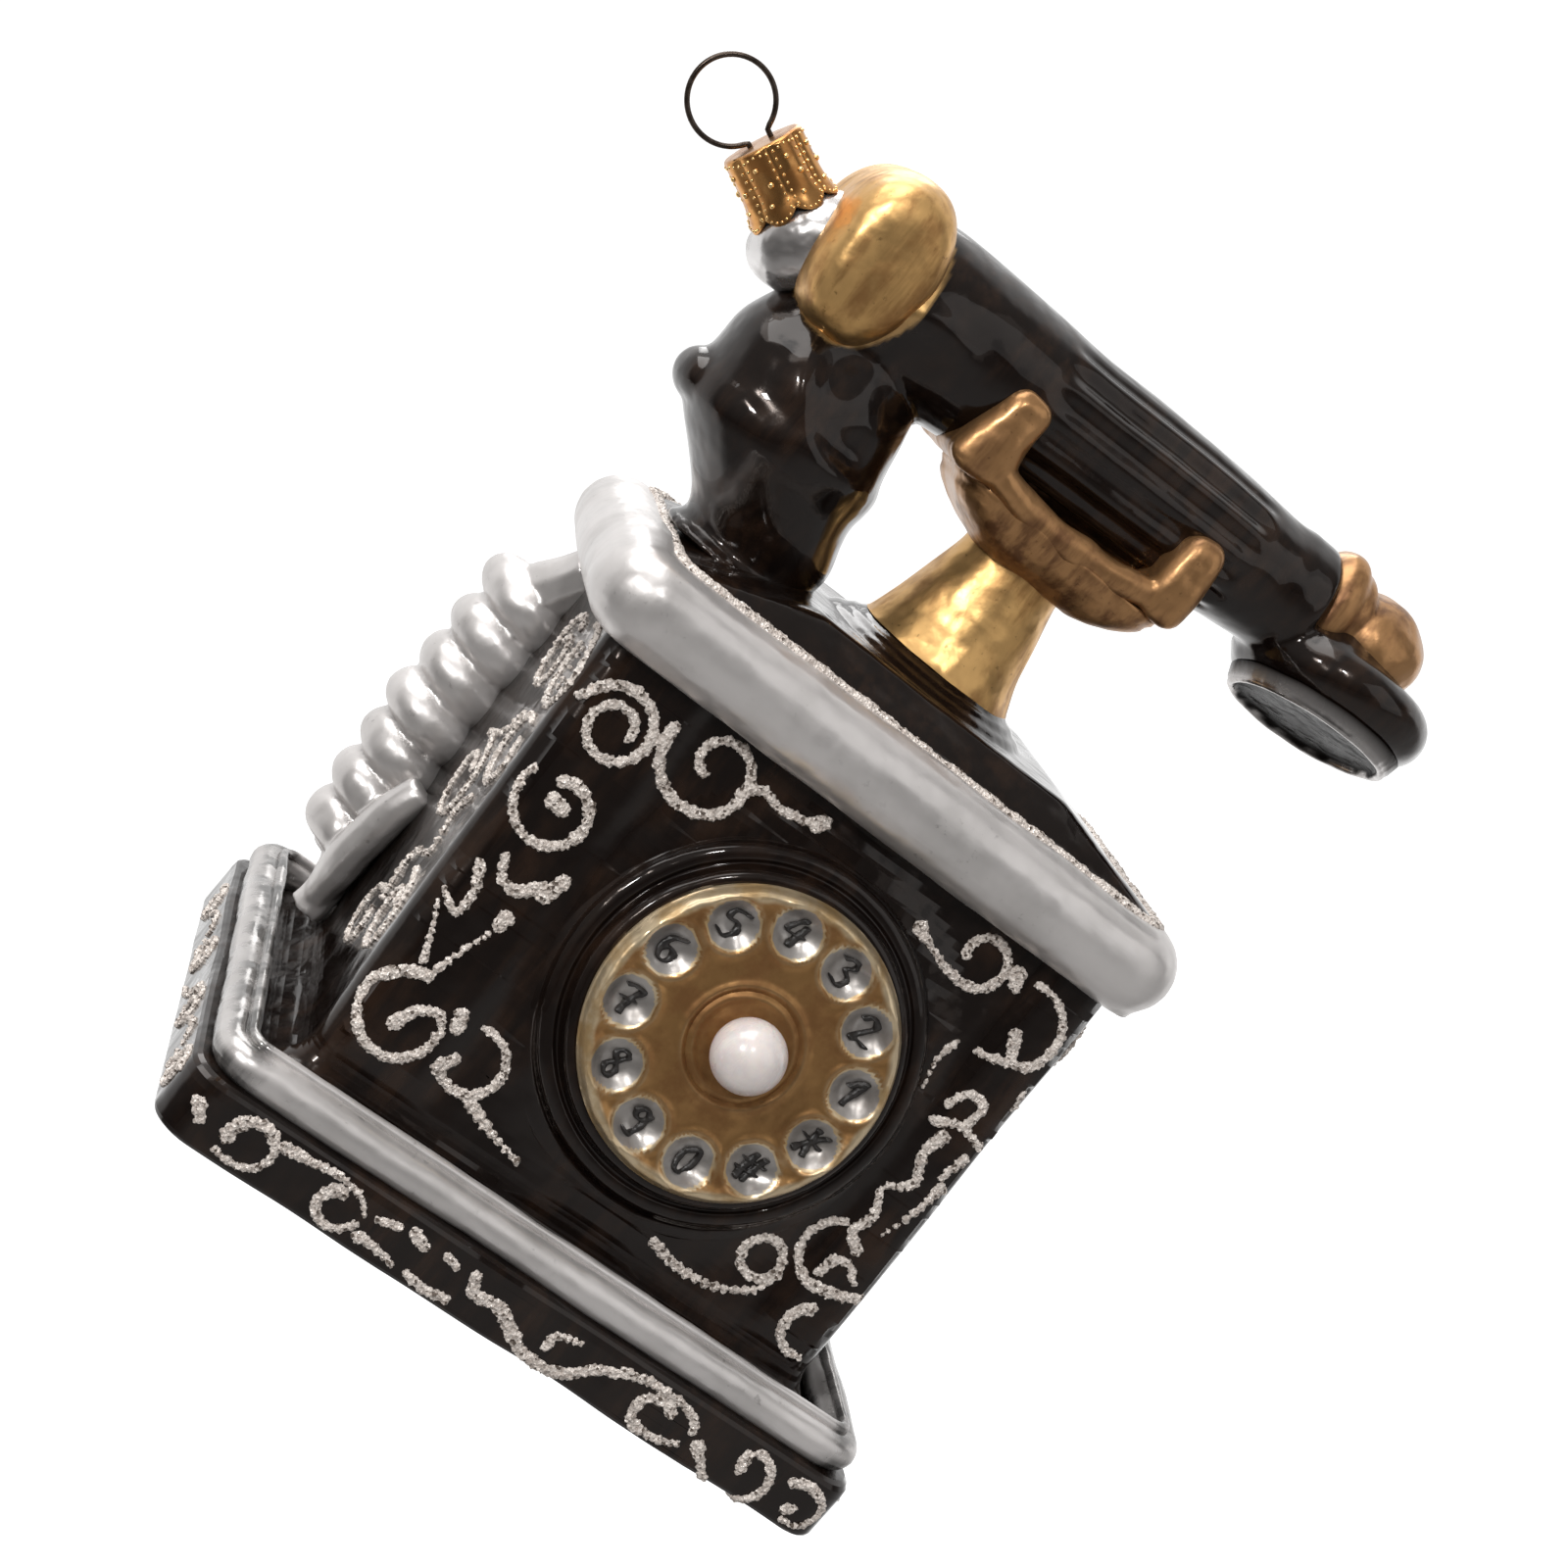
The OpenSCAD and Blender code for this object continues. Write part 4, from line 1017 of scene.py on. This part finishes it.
def curl(x, z, r_start, r_end, start, turn):
    """A spiral round (x, z) from one radius to another; angles in degrees, counter-clockwise."""
    count = max(3, round(abs(turn) / 14.0))
    points = []
    for i in range(count + 1):
        t = i / count
        a = math.radians(start + turn * t)
        r = r_start + (r_end - r_start) * t
        points.append((x + r * math.cos(a), z + r * math.sin(a)))
    return points


def drop_on(skin, ray, wide, thick, detail):
    """A flat round drop where a ray meets skin, in a list that is empty where it misses."""
    spot, normal, _, _ = skin.ray_cast(*ray)
    if spot is None:
        return []
    turned = normal.to_track_quat("Z", "Y").to_matrix().to_4x4()
    return [placed(ball((0, 0, 0), (wide, wide, thick), detail), Matrix.Translation(spot) @ turned)]


def grains_along(skin, cast, line, wide_start, wide_end, seed):
    """Overlapping flat drops along a line that is cast onto skin. cast turns (u, v) to a ray."""
    smooth = through([(u, v, 0) for u, v in line], 4)
    bodies, travelled, spacing = [], 0.0, 0.45 * min(wide_start, wide_end)
    total = sum((b - a).length for a, b in zip(smooth, smooth[1:])) or 1.0
    due = 0.0
    previous = smooth[0]
    for point in smooth:
        travelled += (point - previous).length
        previous = point
        if travelled < due:
            continue
        due += spacing
        wide = wide_start + (wide_end - wide_start) * travelled / total
        wide *= 1 + 0.28 * noise.noise(Vector((point.x, point.y, seed)) / 0.9)
        bodies += drop_on(skin, cast(point.x, point.y), wide, DROP_T, 2)
    return bodies


def ragged(bm, amount, size):
    """Grain-sized bumps, so that a line of glitter has broken edges."""
    return shaped(bm, lambda co, _: amount * (noise.noise(co / size) + 0.5 * noise.noise(co * 2.3 / size)))


def glitter_lines(skin, cast, strokes, seed):
    """Strokes of (line, width at its start, width at its end) as one ragged crust on skin."""
    bodies = []
    for line, wide_start, wide_end in strokes:
        bodies += grains_along(skin, cast, line, DROP_WIDTH * wide_start, DROP_WIDTH * wide_end, seed)
    return ragged(melted(bodies, 0.15, 1), GRAIN_OUT, GRAIN_SIZE)


# Scrolls on the housing's front, as (x, height)
FRONT_SCROLLS = [
    (curl(-27.6, 56.3, 4.6, 1.7, 175, -540), 0.85, 0.75),
    (curl(-16.8, 59.0, 6.2, 1.2, 172, 440), 0.95, 0.75),
    ([(-13.2, 58.4), (-11.3, 60.0), (-9.2, 59.5), (-7.1, 59.9), (-5.2, 60.3)], 0.8, 0.7),
    ([(-4.7, 60.6), (-4.1, 61.3)], 1.3, 1.1),
    (curl(-27.4, 46.4, 4.6, 2.9, 155, 318), 0.65, 0.95),
    ([(-28.1, 46.9), (-26.8, 46.7)], 1.35, 1.1),
    ([(-28.6, 39.6), (-27.4, 37.7), (-25.4, 37.5), (-23.8, 39.2), (-22.9, 38.6), (-22.2, 41.0)], 0.75, 1.2),
    ([(-30.2, 37.6), (-29.0, 35.2), (-29.2, 32.3), (-31.4, 33.5)], 0.95, 0.55),
    ([(-31.2, 32.2), (-30.0, 29.4), (-28.9, 26.7)], 0.4, 0.75),
    ([(-24.7, 34.6), (-24.8, 33.8)], 1.3, 1.2),
    ([(-25.2, 32.4), (-26.3, 29.6), (-27.1, 26.8)], 0.45, 0.7),
    (curl(-27.0, 20.7, 4.9, 4.0, 95, 270), 0.95, 0.7),
    ([(-22.8, 21.6), (-24.2, 23.0), (-26.3, 22.0), (-27.3, 19.8)], 0.6, 1.15),
    ([(-22.3, 24.2), (-21.9, 22.9)], 1.3, 1.1),
    (curl(-18.4, 20.5, 3.9, 3.0, 105, -255), 0.6, 0.85),
    ([(-20.9, 18.4), (-20.0, 20.0)], 1.25, 1.0),
    ([(-15.9, 17.2), (-12.1, 15.8), (-8.2, 14.9)], 1.05, 0.6),
    ([(11.0, 58.4), (11.9, 57.9)], 1.2, 1.0),
    ([(12.4, 57.8), (15.6, 56.7), (18.2, 56.3)], 0.75, 0.85),
    (curl(18.8, 59.6, 3.3, 1.9, 262, 300), 0.85, 0.7),
    ([(22.9, 60.4), (23.5, 59.4)], 1.3, 1.1),
    (curl(26.6, 56.2, 4.9, 4.4, 105, -150), 0.6, 0.85),
    ([(30.0, 53.4), (27.2, 52.3), (24.6, 51.6)], 0.85, 0.65),
    ([(26.6, 55.4), (27.9, 53.3)], 1.25, 0.9),
    ([(22.0, 51.0), (21.3, 48.6), (21.9, 45.4)], 0.7, 0.4),
    ([(31.7, 50.5), (31.9, 49.0)], 1.15, 1.1),
    ([(25.5, 45.5), (26.6, 47.6), (28.8, 47.3), (28.6, 45.0)], 0.75, 0.8),
    ([(25.2, 43.1), (28.1, 44.3), (31.3, 43.6)], 0.8, 0.75),
    ([(27.2, 42.3), (26.6, 39.6), (27.8, 36.6), (25.7, 34.8)], 1.15, 0.7),
    ([(30.7, 41.6), (29.9, 38.8)], 0.95, 0.6),
    ([(30.6, 37.6), (29.9, 34.0), (28.5, 30.2)], 1.05, 0.4),
    ([(25.3, 33.8), (26.4, 31.2), (25.6, 28.8), (27.3, 27.4)], 0.7, 1.0),
    (curl(25.9, 25.3, 4.1, 3.7, 112, 150), 0.75, 0.8),
    ([(25.6, 21.7), (28.5, 22.3), (31.1, 23.3)], 1.0, 1.0),
    ([(25.4, 23.4), (26.0, 25.3), (27.8, 25.6), (29.2, 24.4)], 0.95, 0.6),
    (curl(19.5, 20.9, 2.3, 2.3, 20, 360), 0.8, 0.8),
    ([(22.2, 20.4), (21.0, 17.6), (17.3, 15.6), (12.8, 15.1), (8.8, 16.0)], 0.55, 1.0),
    (curl(28.6, 17.2, 2.7, 3.0, 118, 175), 1.05, 0.6),
]

# The running scroll on the plinth's front, as (x, height)
PLINTH_SCROLLS = [
    ([(-39.2, 4.6), (-38.2, 3.4)], 1.15, 0.95),
    (curl(-32.7, 3.9, 2.3, 2.6, 190, -300), 1.1, 0.5),
    ([(-31.0, 1.9), (-33.2, 1.2), (-35.2, 1.5)], 0.6, 0.5),
    ([(-29.6, 5.6), (-27.0, 5.8), (-23.6, 6.2), (-20.6, 5.6), (-19.2, 4.2)], 1.0, 0.35),
    (curl(-22.0, 3.4, 2.6, 1.5, -10, -250), 0.6, 1.0),
    ([(-17.8, 4.6), (-15.8, 5.2)], 0.7, 0.8),
    ([(-18.4, 2.0), (-16.2, 2.0), (-13.9, 1.5)], 0.9, 0.6),
    ([(-13.9, 5.5), (-12.2, 4.9)], 1.0, 0.8),
    ([(-12.0, 1.5), (-9.6, 1.1), (-7.2, 1.5)], 0.7, 0.85),
    ([(-9.8, 5.4), (-8.4, 5.0)], 0.85, 0.7),
    ([(-6.2, 5.3), (-5.3, 3.7)], 0.95, 0.9),
    ([(-4.4, 3.6), (-2.0, 3.8), (0.4, 2.4), (2.6, 1.2), (5.6, 0.9), (8.2, 1.9), (10.2, 3.9), (11.8, 4.6)],
     1.15, 0.9),
    ([(4.4, 3.0), (4.5, 4.6), (6.9, 5.3)], 0.75, 0.6),
    ([(12.8, 5.3), (15.6, 6.0), (19.4, 6.0), (22.0, 5.2), (22.8, 3.9)], 0.9, 0.75),
    (curl(18.2, 3.1, 1.9, 2.3, 45, 220), 1.05, 0.7),
    ([(17.4, 1.2), (19.8, 1.1), (22.2, 1.9)], 0.8, 0.6),
    ([(24.3, 2.9), (25.2, 1.9)], 1.1, 0.9),
    (curl(29.9, 3.6, 4.6, 2.4, 205, 240), 0.75, 0.75),
    ([(29.2, 5.2), (29.6, 3.4)], 0.8, 1.0),
    ([(35.2, 5.3), (37.0, 6.0), (39.2, 5.2), (40.1, 3.4), (39.0, 1.6), (37.0, 1.2)], 0.95, 0.45),
    ([(36.6, 2.4), (37.2, 2.9)], 1.0, 0.9),
]

# Long loops on a side wall, as (distance from its front edge, height)
SIDE_SCROLLS = [
    (curl(6.0, 57.0, 5.2, 3.4, 70, 330), 0.7, 0.65),
    ([(6.4, 59.4), (5.2, 55.0)], 0.5, 0.5),
    (curl(16.5, 55.5, 5.0, 2.0, 120, -430), 0.65, 0.6),
    (curl(7.4, 46.2, 4.6, 2.6, 110, -340), 0.7, 0.65),
    ([(12.0, 49.5), (15.5, 46.0), (21.0, 44.0)], 0.75, 0.7),
    (curl(18.6, 39.0, 5.4, 2.4, 95, 400), 0.65, 0.6),
    ([(9.0, 40.0), (11.6, 37.2), (9.8, 33.4), (13.0, 31.5)], 0.85, 0.6),
    ([(15.4, 31.0), (18.2, 28.0), (17.0, 24.4)], 0.7, 0.8),
    (curl(9.6, 25.5, 5.0, 2.2, 80, 420), 0.7, 0.6),
    (curl(20.0, 20.6, 3.8, 2.2, 100, -330), 0.65, 0.6),
]

# Loops on the plinth's ends, as (distance from its front edge, height)
PLINTH_END_SCROLLS = [
    (curl(6.0, 3.8, 2.6, 1.2, 150, -420), 0.6, 0.55),
    ([(9.6, 2.2), (12.4, 4.8), (15.0, 5.6), (17.6, 4.2)], 0.6, 0.6),
    (curl(21.6, 3.7, 2.6, 1.2, 30, 400), 0.6, 0.55),
    ([(25.4, 5.2), (28.0, 2.4), (31.4, 1.6)], 0.7, 0.55),
    (curl(36.4, 3.8, 2.6, 1.2, 150, -420), 0.6, 0.55),
    ([(40.4, 2.4), (43.4, 4.9), (46.6, 5.4), (49.2, 4.0)], 0.6, 0.6),
    (curl(53.6, 3.7, 2.6, 1.2, 30, 400), 0.6, 0.55),
]


def from_front(u, v):
    return Vector((u, -FRONT_START, v)), Vector((0, 1, 0))


def wall_edge(v):
    """Where the housing's leaning front edge stands at a height."""
    return -FOOT_D / 2 + max(0.0, v - FOOT_Z) * math.tan(FRONT_LEAN)


def plinth_edge(v):
    return PLINTH[0].y


def from_side(side, front_edge):
    """Rays from the left (-1) or the right (1), with u counted from the front edge."""
    def cast(u, v):
        return Vector((side * SIDE_START, front_edge(v) + u, v)), Vector((-side, 0, 0))
    return cast


def lid_glitter():
    """The granular line where the lid meets the top moulding."""
    low, high = LID
    path = rounded_outline(high.x - low.x + 0.6, high.y - low.y + 0.6, 2.6, step=1.0)
    z = low.z + 0.85
    loop = [p + Vector((0, 0, z)) for p in path]
    bodies = []
    for i, p in enumerate(loop):
        following = loop[(i + 1) % len(loop)]
        for share in (0.0, 0.5):
            spot = p.lerp(following, share)
            size = 0.9 * (1 + 0.35 * noise.noise(spot / 1.3))
            bodies.append(ball(spot, (size, size, 0.62 * size + 0.1), 2))
    return ragged(melted(bodies, 0.2, 1), 0.18, 0.45)


# Dial figures as strokes in a box one unit high, centred
FIGURES = {
    "1": [[(-0.22, 0.12), (0.16, 0.5), (0.0, -0.5)]],
    "2": [[(-0.28, 0.3), (0.0, 0.5), (0.26, 0.25), (0.0, -0.1), (-0.3, -0.45), (-0.05, -0.38),
           (0.32, -0.46)]],
    "3": [[(-0.26, 0.4), (0.1, 0.5), (0.24, 0.26), (0.0, 0.06), (0.26, -0.18), (0.06, -0.5),
           (-0.28, -0.38)]],
    "4": [[(0.0, 0.5), (-0.3, -0.08), (0.3, -0.05)], [(0.2, 0.3), (0.08, -0.5)]],
    "5": [[(0.28, 0.5), (-0.14, 0.44), (-0.2, 0.08), (0.14, 0.1), (0.26, -0.2), (0.0, -0.48),
           (-0.3, -0.38)]],
    "6": [[(0.26, 0.46), (-0.1, 0.3), (-0.26, -0.1), (-0.14, -0.46), (0.16, -0.42), (0.22, -0.12),
           (-0.04, 0.0), (-0.24, -0.18)]],
    "7": [[(-0.28, 0.42), (0.0, 0.5), (0.26, 0.44), (0.08, 0.0), (0.02, -0.5)],
          [(-0.16, -0.02), (0.24, 0.04)]],
    "8": [[(0.22, 0.34), (0.0, 0.5), (-0.2, 0.3), (0.0, 0.04), (0.2, -0.24), (0.0, -0.5), (-0.22, -0.26),
           (0.0, 0.04), (0.22, 0.34)]],
    "9": [[(0.24, 0.3), (0.0, 0.5), (-0.22, 0.3), (-0.06, 0.06), (0.22, 0.2), (0.24, 0.34), (0.16, -0.2),
           (-0.06, -0.5), (-0.26, -0.4)]],
    "0": [[(0.04, 0.5), (-0.22, 0.16), (-0.18, -0.34), (0.04, -0.5), (0.24, -0.14), (0.2, 0.34),
           (0.04, 0.5)]],
    "#": [[(-0.1, 0.48), (-0.2, -0.5)], [(0.22, 0.48), (0.1, -0.5)], [(-0.36, 0.16), (0.38, 0.2)],
          [(-0.4, -0.2), (0.34, -0.14)]],
    "*": [[(-0.36, -0.44), (0.34, 0.44)], [(-0.06, 0.5), (0.1, -0.5)], [(-0.34, 0.14), (0.38, -0.04)]],
}


def dial_figures(skin):
    """Figures painted in the dimples, from 1 counter-clockwise, some leaning more than others."""
    high, stroke, paint_t = 3.3, 0.50, 0.16
    inward = (DIAL_PLACE.to_3x3() @ Vector((0, 0, -1))).normalized()
    bodies = []
    for i, figure in enumerate("1234567890#*"):
        a = FIRST_DIMPLE + i * 2 * math.pi / DIMPLES
        x, y = DIMPLE_RING * math.cos(a), DIMPLE_RING * math.sin(a)
        lean = 0.16 if figure in "1480#*" else 0.06
        for line in FIGURES[figure]:
            for p in through([(u, v, 0) for u, v in line], 24 if len(line) < 4 else 14):
                start = DIAL_PLACE @ Vector((x + high * (p.x + lean * p.y), y + high * p.y, 20.0))
                wide = stroke * (1 + 0.45 * noise.noise(Vector((p.x * 4, p.y * 4, i))))
                bodies += drop_on(skin, (start, inward), wide, paint_t, 1)
    return melted(bodies, 0.075, 1)


def metal_cap():
    """The crimped cap: eight flutes with a scalloped edge, beads along them and round the top."""
    flutes, plate_r, wall_r, flare, foil = 8, 2.8, 4.3, 0.6, 0.25
    top = CAP_TOP
    side = smooth_profile([(4.9, -0.55), (4.72, 0.3), (4.45, 1.4), (4.34, 2.6), (wall_r, 4.6),
                           (4.32, top - 0.5), (4.12, top - 0.1), (3.7, top), (2.4, top + 0.06)], 6)
    bm = spun(side + [(0, top + 0.08)], 128)

    def flute(angle):
        """0 in the valleys between flutes, 1 on their ridges, and how far it swells the wall."""
        wave = abs(math.sin(flutes / 2 * angle))
        return wave, 0.075 * (wave - 0.6)

    def scallop(z, wave):
        return (1 - smooth_step(-0.6, 2.4, z)) * (0.75 - wave)

    for v in bm.verts:
        if v.co.xy.length < plate_r:
            continue
        wave, swell = flute(math.atan2(v.co.y, v.co.x))
        grow = 1 + swell * (1 if v.co.z < top - 0.3 else 0.5)
        v.co = (v.co.x * grow, v.co.y * grow, v.co.z + scallop(v.co.z, wave))
    bmesh.ops.solidify(bm, geom=bm.faces[:], thickness=foil)
    beads = []

    def bead(angle, z, size, out=0.0):
        wave, swell = flute(angle)
        r = (wall_r + flare * max(0.0, (1.6 - z) / 2.2)) * (1 + swell) + out
        z += scallop(z, wave)
        beads.append(ball((r * math.cos(angle), r * math.sin(angle), z), (size, size, size), 2))

    for k in range(flutes):
        valley = 2 * math.pi * k / flutes
        for beside in (-0.085, 0.085):
            for j in range(8):
                bead(valley + beside, 0.1 + 0.86 * j, 0.2)
        ridge = valley + math.pi / flutes
        for j, size in enumerate((0.3, 0.34, 0.3)):
            bead(ridge + (0.1 if j % 2 else -0.08), 1.3 + 1.9 * j, size, 0.02)
        for j in range(3):
            bead(ridge + 0.16 * (j - 1), 6.35 - 0.12 * abs(j - 1), 0.17)
        for j in range(7):
            bead(valley + 2 * math.pi / flutes * (j + 0.5) / 7, -0.25, 0.16)
    studs = joined(beads)
    # The attribute raised marks the beads, which the cap's finish colours as a painted highlight
    for body, share in ((bm, 0.0), (studs, 1.0)):
        raised = body.verts.layers.float.new("raised")
        for v in body.verts:
            v[raised] = share
    return placed(joined([bm, studs]), NECK_PLACE)


def hanger_wire():
    """The ring, its two ends through the cap and its legs inside the neck."""
    ring_r, hole_x, plate_z, wire_r = 4.5, 1.2, 6.78, 0.3
    ring_x, ring_z = -0.8, CAP_TOP + ring_r + 0.5
    start = math.degrees(math.asin((hole_x - ring_x) / ring_r)) - 90
    end = 270 - math.degrees(math.asin((hole_x + ring_x) / ring_r))
    ring = [(x, 0, z) for x, z in arc(ring_x, ring_z, ring_r, start, end, 60)]
    leg = [(hole_x, 0, plate_z), (hole_x + 0.15, 0, plate_z - 2.3), (1.56, 0, plate_z - 4.5)]
    right = through(leg[::-1] + [ring[0]], 5)
    left = [Vector((-p.x, p.y, p.z)) for p in through(leg[::-1] + [(hole_x, 0, ring[-1][2])], 5)]
    line = right[:-1] + [Vector(p) for p in ring[1:-1]] + left[::-1][1:]
    return placed(tube(line, wire_r, sides=16), NECK_PLACE)


# ---------------------------------------------------------------- assembly

def build():
    """Every piece of the ornament, with the trim cast onto the walls before they are put in place."""
    housing_mesh = housing()
    mount_mesh = dial_mount()
    plinth_mesh = plinth()
    plate_mesh = dial_plate()
    walls = joined([housing_mesh.copy(), mount_mesh.copy()])
    wall_skin = BVHTree.FromBMesh(walls)
    walls.free()
    plinth_skin = BVHTree.FromBMesh(plinth_mesh)
    plate_skin = BVHTree.FromBMesh(plate_mesh)

    trim = [(name, glitter_lines(skin, cast, strokes, seed)) for name, skin, cast, strokes, seed in (
        ("front_scrolls", wall_skin, from_front, FRONT_SCROLLS, 1.0),
        ("left_scrolls", wall_skin, from_side(-1, wall_edge), SIDE_SCROLLS, 2.0),
        ("right_scrolls", wall_skin, from_side(1, wall_edge), SIDE_SCROLLS, 3.0),
        ("plinth_scrolls", plinth_skin, from_front, PLINTH_SCROLLS, 4.0),
        ("plinth_left_scrolls", plinth_skin, from_side(-1, plinth_edge), PLINTH_END_SCROLLS, 5.0),
        ("plinth_right_scrolls", plinth_skin, from_side(1, plinth_edge), PLINTH_END_SCROLLS, 6.0))]
    figures = dial_figures(plate_skin)

    finish_piece("plinth_glass", plinth_mesh, BLACK, replaces=["plinth"])
    finish_piece("housing_glass", housing_mesh, BLACK, replaces=["housing", "plinth_cove"])
    finish_piece("dial_mount_glass", mount_mesh, BLACK, replaces=["dial_mount"])
    finish_piece("dial_plate_glass", plate_mesh, DIAL_GOLD, replaces=["dial_plate"])
    finish_piece("dial_figures", figures, FIGURE_PAINT)
    finish_piece("pearl_bead", pearl(), PEARL, replaces=["pearl"])
    finish_piece("plinth_moulding", plinth_bead(), SILVER, replaces=["plinth_bead"],
                 paint=("bare", bare_ends_with_highlight_strip))
    finish_piece("top_moulding", top_bead(), SILVER, replaces=["top_bead"])
    finish_piece("lid_glass", lid(), BLACK, replaces=["lid"])
    finish_piece("lid_glitter_line", lid_glitter(), GLITTER, replaces=["lid_glitter"])
    finish_piece("stem_glass", cradle_stem(), LEAF_GOLD, replaces=["cradle_stem"])
    finish_piece("saddle_glass", saddle(), BRONZE, replaces=["cradle_saddle"])
    finish_piece("fork_glass", fork(), BRONZE, replaces=["cradle_fork"])
    finish_piece("handset_glass", handset(), BLACK,
                 replaces=["handset_grip", "receiver_horn", "receiver_foot", "mouth_neck", "mouth_cup"],
                 paint=("gilt", gilt))
    finish_piece("mouth_lip_glass", mouth_lip(), LIP, replaces=["mouth_lip"],
                 paint=("rim", lip_paint))
    finish_piece("receiver_cap_glass", receiver_cap(), LEAF_GOLD, replaces=["receiver_cap"])
    finish_piece("mouth_cap_glass", mouth_cap(), BRONZE, replaces=["mouth_cap"])
    finish_piece("neck_glass", glass_neck(), MIRROR, replaces=["glass_neck"])
    finish_piece("curly_cord_glass", curly_cord(), SILVER,
                 replaces=["curly_cord", "cord_tail"])
    for name, scrolls in trim:
        finish_piece(name, scrolls, GLITTER)
    finish_piece("crimped_cap", metal_cap(), CAP_METAL, body="cap", replaces=["metal_cap"])
    finish_piece("wire_ring", hanger_wire(), WIRE, body="ring", replaces=["hanger_wire"])


build()


# ---------------------------------------------------------------- studio

FLOOR_Z = -0.34
FLOOR_HALF = 30.0
FLOOR_GREY = (0.40, 0.40, 0.40, 1.0)
MIDDLE = Vector((0.0, 0.0, -0.075))
# Each lamp's place and side in metres, and its power in watts
LAMPS = {
    "ceiling": ((0.02, 0.05, 0.62), 0.5, 3.3),
    "key": ((-0.30, -0.52, 0.52), 0.10, 2.7),
    "bulb": ((0.12, -0.62, 0.46), 0.04, 1.2),
    "fill": ((0.62, -0.50, 0.05), 0.6, 0.8),
    "back": ((0.20, 0.62, 0.38), 0.4, 1.7),
}
ROOM_DIM = 0.05
ROOM_OVERHEAD = 0.36
ROOM_EVEN = 0.32
ROOM_TONE = (1.0, 0.98, 0.96, 1.0)
CAMERA_PLACE = (-0.02855, -0.27355, 0.01092)
CAMERA_TURN = (math.radians(72.4), 0, math.radians(-7.06))
CAMERA_LENS = 60.975
CAMERA_SENSOR = 36.0
CAMERA_NEAR = 0.01


def studio():
    for name, (place, side, power) in LAMPS.items():
        lamp = bpy.data.lights.new(name, "AREA")
        lamp.size = side
        lamp.energy = power
        obj = bpy.data.objects.new(name, lamp)
        obj.location = place
        obj.rotation_euler = (MIDDLE - Vector(place)).to_track_quat("-Z", "Y").to_euler()
        bpy.context.collection.objects.link(obj)


def floor():
    """A pale floor that takes the shadow and shows as white."""
    bm = bmesh.new()
    bmesh.ops.create_grid(bm, x_segments=1, y_segments=1, size=FLOOR_HALF)
    mesh = bpy.data.meshes.new("floor")
    placed(bm, shift(0, 0, FLOOR_Z)).to_mesh(mesh)
    bm.free()
    material = bpy.data.materials.new("pale_floor")
    material.use_nodes = True
    tree = material.node_tree
    tree.nodes.clear()
    output = add(tree, "ShaderNodeOutputMaterial")
    matt = add(tree, "ShaderNodeBsdfDiffuse")
    matt.inputs["Color"].default_value = FLOOR_GREY
    glow = add(tree, "ShaderNodeEmission")
    place = add(tree, "ShaderNodeNewGeometry")
    tree.links.new(seen_as_backdrop(tree, place.outputs["Position"]), glow.inputs["Strength"])
    both = add(tree, "ShaderNodeAddShader")
    tree.links.new(matt.outputs[0], both.inputs[0])
    tree.links.new(glow.outputs[0], both.inputs[1])
    tree.links.new(both.outputs[0], output.inputs["Surface"])
    mesh.materials.append(material)
    obj = bpy.data.objects.new("floor", mesh)
    bpy.context.collection.objects.link(obj)


def seen_as_backdrop(tree, vector):
    """1 for the camera and through glass, and in reflections of what stands behind the object."""
    path = add(tree, "ShaderNodeLightPath")
    split = add(tree, "ShaderNodeSeparateXYZ")
    tree.links.new(vector, split.inputs[0])
    behind = ramp_node(tree, split.outputs["Y"], 0.0, 0.25)
    mirrored = math_node(tree, "MULTIPLY", path.outputs["Is Glossy Ray"], behind)
    seen = math_node(tree, "MAXIMUM", path.outputs["Is Camera Ray"], path.outputs["Is Transmission Ray"])
    return math_node(tree, "MAXIMUM", seen, mirrored)


def world():
    """White behind, and a dim room in front that is lighter overhead."""
    sky = bpy.data.worlds.new("studio")
    sky.use_nodes = True
    tree = sky.node_tree
    tree.nodes.clear()
    output = add(tree, "ShaderNodeOutputWorld")
    white = add(tree, "ShaderNodeBackground")
    room = add(tree, "ShaderNodeBackground")
    aim = add(tree, "ShaderNodeTexCoord")
    split = add(tree, "ShaderNodeSeparateXYZ")
    tree.links.new(aim.outputs["Generated"], split.inputs[0])
    path = add(tree, "ShaderNodeLightPath")
    height = ramp_node(tree, split.outputs["Z"], -0.1, 0.8, ROOM_DIM, ROOM_OVERHEAD)
    even = math_node(tree, "MULTIPLY", path.outputs["Is Diffuse Ray"], ROOM_EVEN)
    tree.links.new(math_node(tree, "MAXIMUM", height, even), room.inputs["Strength"])
    room.inputs["Color"].default_value = ROOM_TONE
    white.inputs["Color"].default_value = (1, 1, 1, 1)
    both = add(tree, "ShaderNodeMixShader")
    tree.links.new(seen_as_backdrop(tree, aim.outputs["Generated"]), both.inputs[0])
    tree.links.new(room.outputs[0], both.inputs[1])
    tree.links.new(white.outputs[0], both.inputs[2])
    tree.links.new(both.outputs[0], output.inputs["Surface"])
    bpy.context.scene.world = sky


def camera():
    lens = bpy.data.cameras.new("camera")
    lens.sensor_width = CAMERA_SENSOR
    lens.lens = CAMERA_LENS
    lens.clip_start = CAMERA_NEAR
    obj = bpy.data.objects.new("camera", lens)
    obj.location = CAMERA_PLACE
    obj.rotation_euler = CAMERA_TURN
    bpy.context.collection.objects.link(obj)
    bpy.context.scene.camera = obj


studio()
floor()
world()
camera()
bpy.context.scene.view_settings.view_transform = "Standard"
